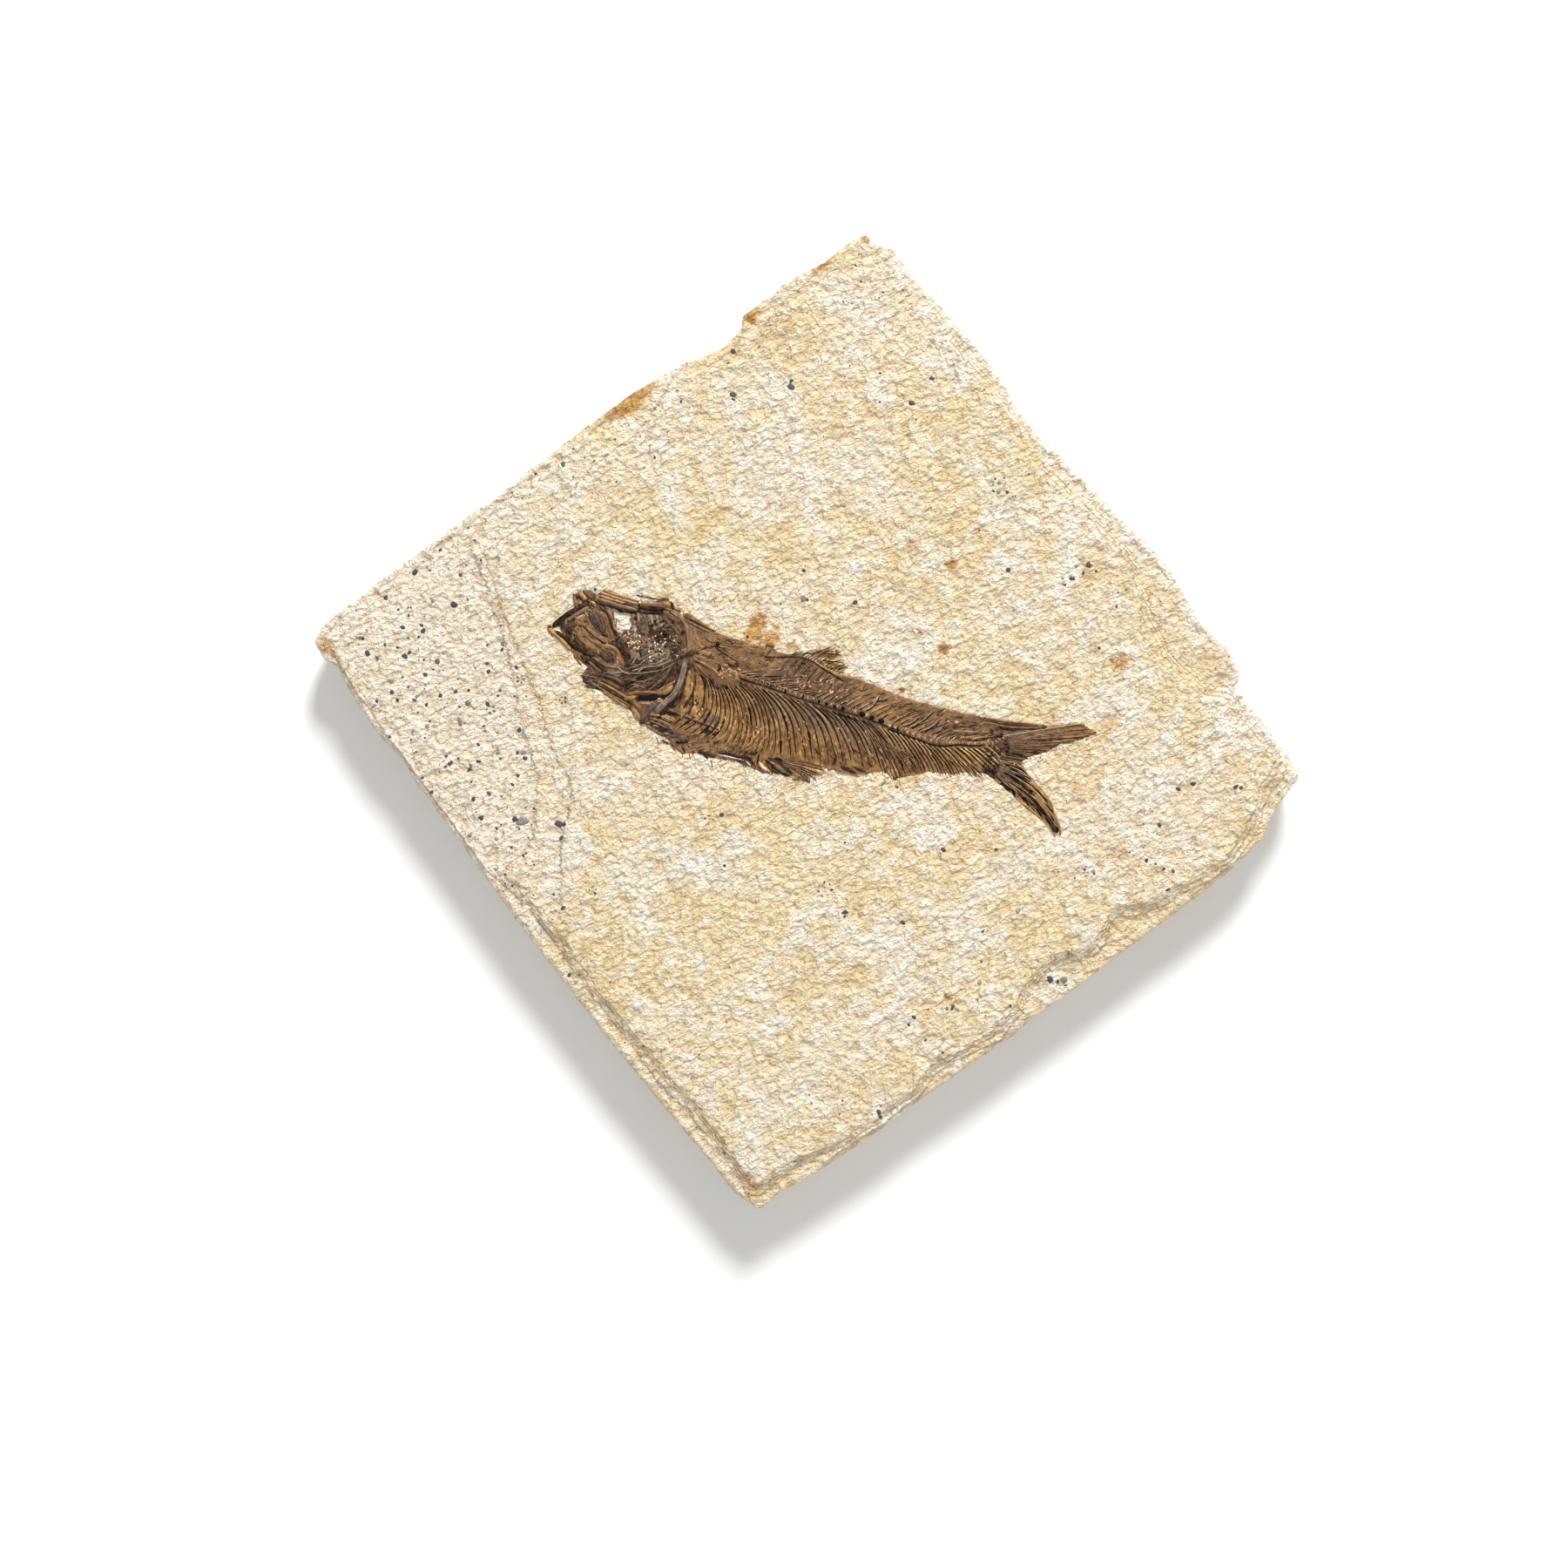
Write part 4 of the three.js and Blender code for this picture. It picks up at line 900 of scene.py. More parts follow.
SHOULDER = [
    ([[22.4, 1.2], [23.1, 0.5], [23.8, -0.3]], 0.55, 0.42, 0.8, 0),
    ([[22.4, -0.3], [22.8, -2.2], [23.1, -4.5]], 0.95, 0.6, 0, 0.9, 0.12),
    ([[24.2, -0.8], [24.7, -2.5], [25.2, -4.3]], 0.9, 0.58, 0, 0.9, 0.12),
    ([[26.0, -3.2], [26.5, -4.4], [27.1, -5.8]], 0.6, 0.52, 0, 0.8, 0.12),
    ([[22.7, -5.6], [23.0, -6.8], [23.4, -8.2]], 0.7, 0.5, 0, 0.8, 0.12),
    ([[24.6, -5.2], [24.9, -6.2], [25.2, -7.4]], 0.9, 0.62, 0, 0.8, 0.12),
    ([[21.9, -0.5], [22.2, -1.8], [22.35, -3.2], [22.2, -5.2]], 0.34, 0.1, 0.3, 0),
    ([[23.4, -0.7], [23.8, -2.6], [24.2, -5.2], [24.1, -7.0]], 0.34, 0.14, 0.4, 0),
    ([[24.0, -0.4], [24.9, -0.8], [25.4, -1.6], [25.7, -3.4], [26.1, -5.6]], 0.26, 0.1, 0.3, 0),
    ([[23.2, -4.9], [24.3, -5.2]], 0.7, 0.1, 0.3, 0, 0.08),
    ([[23.0, 0.9], [24.4, 0.1], [25.4, -0.4], [26.4, -0.6]], 0.3, 0.5, 0.1, 0.5),
    ([[22.4, 1.6], [24.4, 1.25], [26.2, 0.7], [27.2, -0.2]], 0.3, 0.62, 0.1, 0.6),
    ([[22.6, 1.4], [24.6, 0.85], [26, 0.3]], 0.16, 0.1, 0.1, 0),
    ([[22.0, 5.0], [22.8, 3.9], [23.6, 3.2]], 0.9, 0.56, 0, 0.7, 0.1),
    ([[22.3, 3.2], [24, 2.9], [25.8, 3.0]], 0.7, 0.58, 0, 0.7, 0.1),
    ([[22.6, 2.1], [24.4, 2.0], [26.2, 1.8]], 0.6, 0.54, 0, 0.7, 0.1),
    ([[22.4, 2.6], [24.2, 2.45], [26.0, 2.4]], 0.14, 0.1, 0.1, 0),
    ([[25.4, -0.1], [26.3, -0.9], [27, -1.7]], 0.55, 0.14, 0.7, 0),
    ([[26.2, -1.2], [27.3, -1.6], [28.2, -1.4]], 0.55, 0.26, 0.5, 0),
    ([[26.2, -1.9], [26.9, -2.3], [27.6, -1.9]], 0.24, 0.62, 0.2, 0.4),
    ([[26.5, 1.9], [26.9, 1.3], [26.6, 0.7]], 0.4, 0.1, 0.5, 0),
    ([[21.8, 1.7], [22.8, 2.8], [24.2, 3.9], [25.6, 4.4], [27.4, 4.0]], 0.24, 0.14, 0.2, 0),
    ([[25.2, 4.6], [25.9, 4.75]], 0.55, 0.02, 0.4, 0),
    ([[25.2, 4.25], [26.4, 3.8], [27.8, 3.4], [29.4, 3.0]], 0.3, 0.16, 0.5, 0),
    ([[27.4, 2.35], [28.6, 2.15], [29.7, 2.4]], 0.4, 0.05, 0.2, 0),
    ([[28.8, 2.6], [29.5, 2.8]], 0.3, 0.1, 0.2, 0),
    ([[25.4, 5.2], [27.2, 5.0], [28.8, 5.6]], 0.3, 0.5, 0, 0.6),
    ([[26.4, 6.0], [28, 6.2], [29.6, 6.2]], 0.22, 0.75, 0.1, 0.3),
    ([[26.2, 5.7], [27.9, 5.5], [29.4, 5.9]], 0.2, 0.12, 0, 0.1),
    ([[23.2, 5.3], [24.6, 4.8], [26, 5.5]], 0.3, 0.35, 0, 0.5),
    ([[33.2, 5.1], [33.5, 5.8], [33.8, 6.2]], 0.24, 0.12, 0, 0.1),
    ([[32.6, 6.4], [33.2, 6.9], [34.1, 6.6]], 0.5, 0.42, 0, 0.6),
    ([[29.3, 7.15], [29.9, 7.05]], 0.7, 0.22, 0, 0.5),
    ([[31.3, 6.5], [32.0, 6.5]], 0.3, 0.45, 0, 0.6),
    ([[20.5, -7.2], [22.5, -7.3], [26, -7.6], [29.8, -7.85]], 0.24, 0.06, 0.1, 0),
    ([[21, -6.95], [24, -7.2], [28, -7.6]], 0.18, 0.5, 0.4, 0),
    ([[26.2, -6.6], [27.6, -6.5], [29.4, -6.7]], 1.5, 0.32, 0.8, 0, 0.06),
    ([[26.6, -8.5], [28, -8.6], [29.4, -8.4]], 0.7, 0.1, 0.3, 0, 0.06),
    ([[23.9, -4.9], [25.3, -4.85]], 0.6, 0.08, 0.2, 0, 0.08),
    ([[20.6, -7.3], [21.5, -7.2], [22.6, -7.3]], 0.45, 0.05, 0.2, 0),
]
BELLY = [
    ([[22.2, -10.8], [23.4, -10.4], [25, -10.6]], 1.1, 0.24, 0.7, 0, 0.12),
    ([[23.2, -11.5], [24.4, -11.2], [25.4, -10.6]], 0.35, 0.06, 0.4, 0),
    ([[22.4, -11.2], [23.4, -11.0], [24.4, -10.4]], 0.2, 0.5, 0.8, 0),
    ([[22.6, -11.7], [24.2, -12.4], [25.3, -12.8]], 0.34, 0.42, 0, 0.8),
    ([[22.2, -11.5], [23.0, -12.2], [23.8, -12.9]], 0.16, 0.4, 0, 0.6),
    ([[24.4, -11.7], [25.2, -12.6]], 0.3, 0.12, 0.3, 0),
    ([[27, -12.0], [28.4, -11.8], [29.8, -12.0]], 0.55, 0.12, 0.5, 0),
    ([[27.9, -12.1], [28.9, -12.6]], 0.3, 0.08, 0.3, 0),
    ([[30, -11.2], [31.6, -10.95], [33, -11.1], [34.6, -10.8], [36.1, -11.7]], 0.4, 0.1, 0.7, 0),
    ([[30.2, -11.55], [32, -11.4], [34, -11.35], [35.6, -11.9]], 0.26, 0.85, 1.0, 0),
    ([[33.2, -11.8], [34.2, -11.4], [35.2, -11.9]], 0.3, 0.12, 0.9, 0),
    ([[33.8, -10.7], [34.8, -10.85], [36.0, -11.5]], 0.18, 0.8, 1.0, 0),
    ([[36.5, -10.9], [37.1, -11.5], [38.2, -11.9]], 0.6, 0.82, 0.3, 0.3),
    ([[36.2, -11.0], [37.0, -12.1], [38.0, -12.2]], 0.24, 0.35, 0.1, 0.4),
    ([[36.1, -9.6], [36.2, -10.4], [36.2, -11.4]], 0.3, 0.08, 0.3, 0),
    ([[37.2, -10.3], [38.5, -10.9], [40, -11.5], [41.5, -11.8]], 0.42, 0.08, 0.7, 0),
    ([[37.6, -9.95], [39.2, -10.1], [40.6, -10.8], [42.2, -11.5]], 0.34, 0.12, 0.7, 0),
    ([[37.3, -10.8], [38.4, -11.5], [39.8, -11.9]], 0.26, 0.1, 0.6, 0),
    ([[38.0, -10.35], [39.4, -10.8], [40.6, -11.3]], 0.12, 0.6, 1.0, 0),
    ([[38.4, -9.9], [39.2, -9.7], [40.2, -9.9]], 0.4, 0.02, 0.3, 0),
    ([[40.6, -10.2], [42.2, -10.6], [43.8, -11.4], [44.8, -11.9]], 0.3, 0.26, 0.2, 0.3),
    ([[40.8, -10.6], [42.2, -11.1], [44.2, -11.7]], 0.2, 0.55, 0.1, 0.5),
    ([[41.2, -11.5], [42.6, -11.3], [43.9, -10.6]], 0.24, 0.5, 0.1, 0.4),
    ([[41.9, -12.2], [43.0, -11.8], [44.3, -11.2]], 0.24, 0.3, 0.1, 0.3),
    ([[48.6, -8.25], [49.6, -8.3], [51.2, -8.55]], 0.55, 0.14, 0.8, 0),
    ([[49.2, -8.15], [50.6, -8.2]], 0.16, 0.5, 1.0, 0),
    ([[50.6, -7.75], [51.6, -7.9], [53.0, -8.15]], 0.4, 0.12, 0.6, 0),
    ([[47.7, -8.5], [48.4, -8.8], [51.9, -8.9]], 0.26, 0.48, 0, 0.8),
    ([[47.5, -6.2], [47.6, -7.6], [47.4, -8.5]], 0.4, 0.12, 0.5, 0),
]
# Thin pieces that stick out beyond the film.
STRAYS = [
    ([[24.8, -12.8], [25.0, -13.6]], 0.22, 0.4, 0, 0.6),
    ([[25.5, -11.9], [26.3, -13.5]], 0.2, 0.4, 0, 0.5),
    ([[26.0, -11.9], [26.5, -12.8]], 0.16, 0.35, 0, 0.5),
    ([[29.1, -12.3], [30.0, -14.0]], 0.2, 0.2, 0.3, 0),
    ([[20.0, -11.2], [21.0, -12.4]], 0.16, 0.25, 0.2, 0.2),
    ([[21.1, -11.7], [22.5, -12.0]], 0.26, 0.1, 0.2, 0),
    ([[32.0, -12.1], [30.8, -13.4]], 0.12, 0.55, 0.1, 0.5),
    ([[31.2, -12.0], [30.2, -12.9]], 0.12, 0.5, 0.1, 0.5),
    ([[0.9, -3.6], [2.2, -4.5]], 0.12, 0.4, 0.2, 0.2),
    ([[38.0, -12.1], [38.9, -12.3]], 0.16, 0.3, 0, 0.5),
    ([[83.7, 6.0], [84.0, 5.7]], 0.16, 0.3, 0.1, 0.3),
    ([[76.4, 1.3], [77.9, 0.5]], 0.12, 0.5, 0.1, 0.6),
    ([[56.0, -8.5], [55.4, -9.3]], 0.2, 0.5, 0.1, 0.5),
    ([[57.4, -8.8], [58.1, -8.9]], 0.3, 0.4, 0, 0.6),
    ([[68.9, -3.8], [69.9, -4.0]], 0.14, 0.4, 0.2, 0.2),
    ([[54.0, 5.6], [55.0, 5.7]], 0.24, 0.4, 0, 0.8),
]
# Painted highlights: bright glints on the bones, [x, y, length].
GLINTS = [[12.6, 2.0, 0.5], [13.7, 2.7, 0.55], [13.3, 0.6, 0.35], [12.3, 1.2, 0.45], [14.7, 1.0, 0.4],
          [15.7, 0.8, 0.45], [16.8, 3.95, 0.4], [17.5, 3.3, 0.35], [17.5, 2.4, 0.4], [16.5, 5.2, 0.35],
          [8.7, -0.3, 0.4], [20.0, 1.3, 0.4], [19.0, -0.3, 0.35], [18.5, -0.8, 0.4], [20.7, -2.6, 0.35],
          [12.9, 1.5, 0.5], [13.9, 1.9, 0.4], [13.0, 2.5, 0.4], [18.3, -2.1, 0.25], [13.2, -3.2, 0.35],
          [19.3, 2.4, 0.3], [25.0, -2.2, 0.4], [29.0, -4.9, 0.35], [29.2, -5.4, 0.35], [25.2, -6.1, 0.6],
          [31.2, -6.3, 0.45], [33.2, -5.9, 0.4], [34.7, -5.9, 0.5], [42.3, 3.8, 0.5], [41.4, 3.2, 0.45],
          [40.9, 2.3, 0.6], [39.6, 3.3, 0.35], [44.1, 4.0, 0.4], [46.8, -2.7, 0.45], [48.3, -2.7, 0.4],
          [41.4, -3.2, 0.4], [49.2, 5.2, 0.4], [48.1, -0.4, 0.45], [56.7, 0.0, 0.45], [54.2, 4.0, 0.35],
          [54.0, 2.7, 0.35], [51.4, 3.8, 0.35], [53.0, -2.7, 0.4], [51.9, -4.1, 0.35], [55.0, 1.4, 0.5],
          [63.9, 3.0, 0.8], [62.7, 2.8, 0.6], [28.4, 1.5, 0.4], [27.9, 1.1, 0.35], [71.5, 2.65, 0.5],
          [73.2, 1.2, 0.35], [74.2, -0.75, 0.5], [72.0, -0.85, 0.4], [72.5, -2.1, 0.35], [72.8, -4.0, 0.35],
          [29.9, 4.7, 0.4], [36.4, 3.8, 0.35], [31.5, -0.7, 0.35], [33.0, -2.0, 0.4], [35.7, -2.2, 0.35],
          [39.9, -0.6, 0.35], [43.2, -4.1, 0.4], [57.9, -4.8, 0.45], [58.3, -5.0, 0.4]]


def toned(rows, middle, contrast):
    """Strokes with their tones drawn closer to a middle one."""
    return [(path, width, middle + (tone - 0.33) * contrast, *rest) for path, width, tone, *rest in rows]


# Hairlines along the plates of the cheek: [x, y, how steeply they fall].
CHEEK_HAIRLINES = [[6.0, 0.9, 0.5], [5.4, 0.2, 0.6], [6.6, 0.5, 0.5], [7.4, 0.1, 0.5], [5.0, 1.9, 0.7],
                   [6.2, 3.3, 1.1], [7.0, 2.6, 1.2], [7.6, 1.9, 1.1], [4.7, 3.9, 1.0], [9.6, -0.4, 0.1],
                   [8.0, 3.4, 1.2], [9.0, -1.4, 0.5]]
# Strips along the skull's roof: [y, width, tone].
ROOF_STRIPS = [[6.0, 0.3, 0.08], [6.25, 0.4, 0.3], [6.5, 0.3, 0.56], [6.72, 0.2, 0.1], [6.95, 0.34, 0.62],
               [7.18, 0.2, 0.2], [7.42, 0.34, 0.66], [7.66, 0.24, 0.34], [7.86, 0.24, 0.58]]
# The gill cover: where it hinges, and the edge that its creases run to.
GILL_HINGE = np.array([20.3, 0.8])
GILL_EDGE = [[12.9, -1.2], [12.6, -2.2], [12.7, -3.2], [12.8, -4.2], [13.2, -5.1], [14.0, -5.8], [15, -5.9],
             [16.0, -5.6], [17.0, -5.2], [18.0, -4.7], [18.9, -4.3], [19.8, -3.3], [20.4, -2.4]]
GILL_CREASES = 30


def skull():
    """Jaws, cheek, roof, gill cover and shoulder."""
    bones = Bones(101)
    random = bones.random
    bones.batch(JAWS)
    bones.batch(toned(CHEEK, 0.3, 0.7), wobble=0.16)
    for x, y, lean in CHEEK_HAIRLINES:
        bones.add([[x - 0.9, y + 0.9 * lean], [x, y + 0.1], [x + 0.9, y - 0.8 * lean]], 0.1,
                  random.choice([0.02, 0.6]), 0.3, 0.3, height=0.16)
    for y, width, tone in ROOF_STRIPS:
        start = 5.9 + 0.4 * random.random() + 0.5 * (y > 7.5)
        bones.add([[start, y + 0.1], [8, y + 0.03], [10, y], [12.2, y - 0.02]], width, tone, 0.1, 0.5,
                  height=0.1 + 0.1 * tone, wobble=0.02)
    bones.batch(ROOF)
    for end in spaced(GILL_EDGE, count=GILL_CREASES):
        root = GILL_HINGE + random.normal(0, 0.25, 2)
        middle = (root + end) / 2 + random.normal(0, 0.2, 2) + [0.2, -0.3]
        dark = random.uniform(0.02, 0.3)
        bones.add([root, middle, end], 0.3, dark, 0.45, 0.15, height=0.1, tip=0.42)
    bones.batch(toned(GILL_COVER, 0.32, 0.9) + toned(SHOULDER, 0.29, 0.85))
    return bones


def scatter(bones, area, count, turn, spread, tones, greys, golds, sizes):
    """Broken splinters strewn over an area, most of them turned one way."""
    low, high = np.min(area, axis=0), np.max(area, axis=0)
    random = bones.random
    while count:
        spot = random.uniform(low, high)
        if not inside(spot[None], area)[0]:
            continue
        angle = math.radians(turn + random.normal(0, spread))
        reach = random.uniform(*sizes) / 2 * heading(angle)
        bend = random.normal(0, 0.08, 2)
        bones.add([spot - reach, spot + bend, spot + reach], random.uniform(0.12, 0.32),
                  random.uniform(*tones), random.uniform(*greys), random.uniform(*golds), wobble=0)
        count -= 1


# Strewn splinters: (area, how many, turn and spread in degrees, ranges of tone, grey, gold and length).
SPLINTERS = [
    ([[13.3, 3.0], [13.5, 6], [16, 6.4], [20, 6], [21, 3], [21, 1], [14, -0.8], [11.4, 0.6], [11.4, 2]],
     190, 10, 45, (-0.05, 0.52), (0.3, 0.9), (0, 0.4), (0.3, 1.0)),
    ([[10.6, 2.3], [12.6, 2.8], [14, 2.8], [14.2, 0.4], [12.6, 0.6], [11.6, 1.6]],
     34, 60, 50, (0.5, 1.0), (0, 0.6), (0.1, 0.8), (0.2, 0.6)),
    ([[10.0, 2.0], [12.6, 2.8], [12.8, 1.4], [11, 1.4]],
     20, -30, 40, (0.05, 0.3), (0, 0.5), (0, 0.3), (0.3, 0.7)),
    ([[14.5, 1.2], [15.6, 4.2], [18.2, 5.4], [19.6, 3], [18.6, -1.6], [16, -0.4]],
     26, 40, 60, (0.7, 1.0), (0.3, 0.9), (0, 0.3), (0.2, 0.6)),
    ([[11.8, 5.7], [13.6, 5.9], [14.2, 3.0], [12.0, 1.8], [10.2, 1.8], [12.0, 3.4]],
     44, -65, 50, (0.15, 0.62), (0.1, 0.7), (0, 0.4), (0.5, 1.3)),
    ([[1.6, 0.6], [3.0, 4.4], [6.4, 4.8], [9.6, 1.2], [10.2, -2.2], [7, -3.2], [3, -1.4]],
     80, -48, 34, (0.02, 0.62), (0.1, 0.6), (0, 0.7), (0.3, 1.1)),
    ([[7.2, 5.4], [9.4, 5.6], [9.8, 4.2], [10.0, 2.4], [9.0, 3.0]],
     12, -60, 20, (0.3, 0.7), (0, 0.2), (0.2, 0.6), (0.3, 0.9)),
    ([[3.0, 6.6], [4.8, 7.3], [5.9, 6.4], [5.6, 4.9], [4.2, 4.7], [3.2, 5.3]],
     40, 30, 60, (0.02, 0.5), (0.1, 0.7), (0, 0.3), (0.3, 0.9)),
    ([[7.4, -3.9], [10, -4], [10.4, -6.6], [8, -7], [7, -5.4]],
     46, 8, 30, (0.05, 0.5), (0.3, 0.7), (0, 0.2), (0.4, 1.2)),
    ([[27, -0.2], [27, 2.2], [30, 2.2], [30, 0.2]],
     34, -10, 40, (0.3, 0.85), (0, 0.2), (0.4, 0.9), (0.3, 0.8)),
    ([[22, 2], [25, 6.2], [33, 6], [33, 1.6]],
     70, 15, 30, (0.16, 0.58), (0, 0.3), (0.3, 0.8), (0.5, 1.6)),
    ([[33, 5], [33, 1.4], [42, 1.4], [42, 5.4], [40, 5.8]],
     56, 22, 26, (0.12, 0.56), (0.1, 0.7), (0, 0.5), (0.4, 1.7)),
    ([[38, 2.0], [38.5, 4.2], [42, 4.4], [46.5, 3.4], [47, 1.8]],
     30, 62, 16, (0.6, 0.82), (0, 0.4), (0.3, 0.8), (0.35, 0.75)),
    ([[42, 5.2], [42, 1.2], [52, 1.2], [52, 4.2], [46, 4.6]],
     50, 44, 22, (0.14, 0.56), (0.1, 0.7), (0, 0.6), (0.4, 1.6)),
    ([[52, 4.2], [52, 1.2], [68, 1.2], [68, 4.2]],
     76, 35, 18, (0.1, 0.58), (0, 0.4), (0.2, 0.8), (0.4, 1.8)),
    ([[23, -2], [36, -2.5], [45, -3.8], [53, -3.2], [53, -5.6], [44, -8.2], [24, -8.6]],
     60, -64, 10, (0.5, 0.8), (0, 0.1), (0.5, 0.9), (0.3, 0.9)),
    ([[18, -8], [22, -8], [22, -11], [18.4, -10]],
     26, 10, 30, (0.1, 0.6), (0.1, 0.6), (0, 0.5), (0.4, 1.2)),
    ([[22, -9.6], [22, -11.2], [29, -11.9], [36, -11], [36, -9.4]],
     80, 20, 45, (0.1, 0.6), (0.2, 0.7), (0, 0.4), (0.4, 1.3)),
    ([[44, -6.5], [46, -8.8], [53, -7.6], [60, -5.6], [61, -3], [52, -4]],
     70, -50, 22, (0.12, 0.6), (0.1, 0.5), (0.1, 0.6), (0.4, 1.4)),
    ([[69.4, 3.6], [69.4, -2.2], [72, -3.6], [74, 0], [73, 3.4]],
     110, 5, 40, (-0.05, 0.36), (0.3, 0.8), (0, 0.2), (0.3, 1.1)),
]
# The belly's frayed edge, [x, y], and how many hairs it has.
BELLY_EDGE = [[17, -9.8], [22, -11.2], [25, -12.2], [30, -11.8], [36, -11.7], [44, -11.2]]
BELLY_HAIRS = 60
# Painted glints in front of this are the head's, and brighter.
HEAD_END = 22


def debris():
    """Splinters, painted glints, and the strokes of the belly."""
    bones = Bones(202)
    random = bones.random
    for row in SPLINTERS:
        scatter(bones, *row)
    # Painted highlights: each glint is a short pale stroke.
    for x, y, size in GLINTS:
        turn = random.uniform(0, math.pi)
        reach = 0.5 * size * heading(turn)
        if x > HEAD_END:
            reach = 0.8 * reach
        bones.add([[x - reach[0], y - reach[1]], [x, y], [x + reach[0], y + reach[1]]], size * 0.5,
                  0.92 if x < HEAD_END else 0.78, 0.3, 0.4, wobble=0)
    bones.batch(BELLY + STRAYS)
    for _ in range(BELLY_HAIRS):
        x = random.uniform(18, 46)
        y = column(BELLY_EDGE, 1, x)
        root = np.array([x, y + random.uniform(0.1, 0.6)])
        turn = math.radians(random.normal(-50, 28))
        end = root + random.uniform(0.6, 1.3) * heading(turn)
        bones.add([root, end], random.uniform(0.14, 0.26), random.uniform(0.08, 0.5), 0.2,
                  random.uniform(0, 0.6), tip=0.06)
    return bones


# Square black gaps between vertebrae: [x, width].
VERTEBRA_GAPS = [[37.5, 0.5], [40.3, 0.4], [42.8, 0.4], [44.0, 0.45], [45.3, 0.5], [46.65, 0.5],
                 [49.7, 0.85], [51.25, 0.7], [52.8, 0.8], [55.5, 0.4]]
VERTEBRA_STEP = 0.95
HAEMAL_STEP = 0.42
# A few neural spines that stand out: [root, end].
STRONG_SPINES = [[[57.3, 0.2], [60.2, 3.7]], [[59.0, 0.0], [61.6, 2.8]], [[50.2, 0.9], [51.6, 3.8]],
                 [[56.2, 0.1], [58.4, 2.4]], [[61.0, 0.4], [62.4, 2.2]]]
# Where the ribs stop above the belly, [x, y].
RIB_FLOOR = [[22, -9.8], [30, -10.2], [38, -9.6], [44, -8.7], [48, -8.2], [53, -6.6], [57, -5.2], [60, -3.4]]
# The stem before the tail, above the backbone: amber bands with dark lines between them.
STEM = [
    ([[63.4, 1.5], [65.2, 1.9], [67.6, 2.5], [69.3, 3.0]], 0.36, 0.42, 0, 0.9, 0.08),
    ([[63.8, 1.2], [66, 1.7], [68.4, 2.4], [69.4, 2.9]], 0.14, 0.1, 0.2, 0),
    ([[64.8, 1.0], [66.6, 1.3], [68.4, 1.9], [69.3, 2.6]], 0.36, 0.46, 0, 1, 0.08),
    ([[65.6, 0.8], [67.2, 1.0], [68.6, 1.5], [69.4, 2.2]], 0.14, 0.08, 0.2, 0),
    ([[66.4, 0.65], [67.6, 0.8], [68.8, 1.3]], 0.24, 0.44, 0, 0.9),
    ([[64.4, 2.5], [66, 2.8], [67.6, 3.1]], 0.14, 0.12, 0.2, 0.1),
    ([[63.4, 2.95], [64.4, 3.05]], 0.6, 0.56, 0, 0.7, 0.1),
    ([[65.0, 3.6], [67, 3.8], [69.4, 4.1]], 0.14, 0.14, 0.2, 0.1),
]


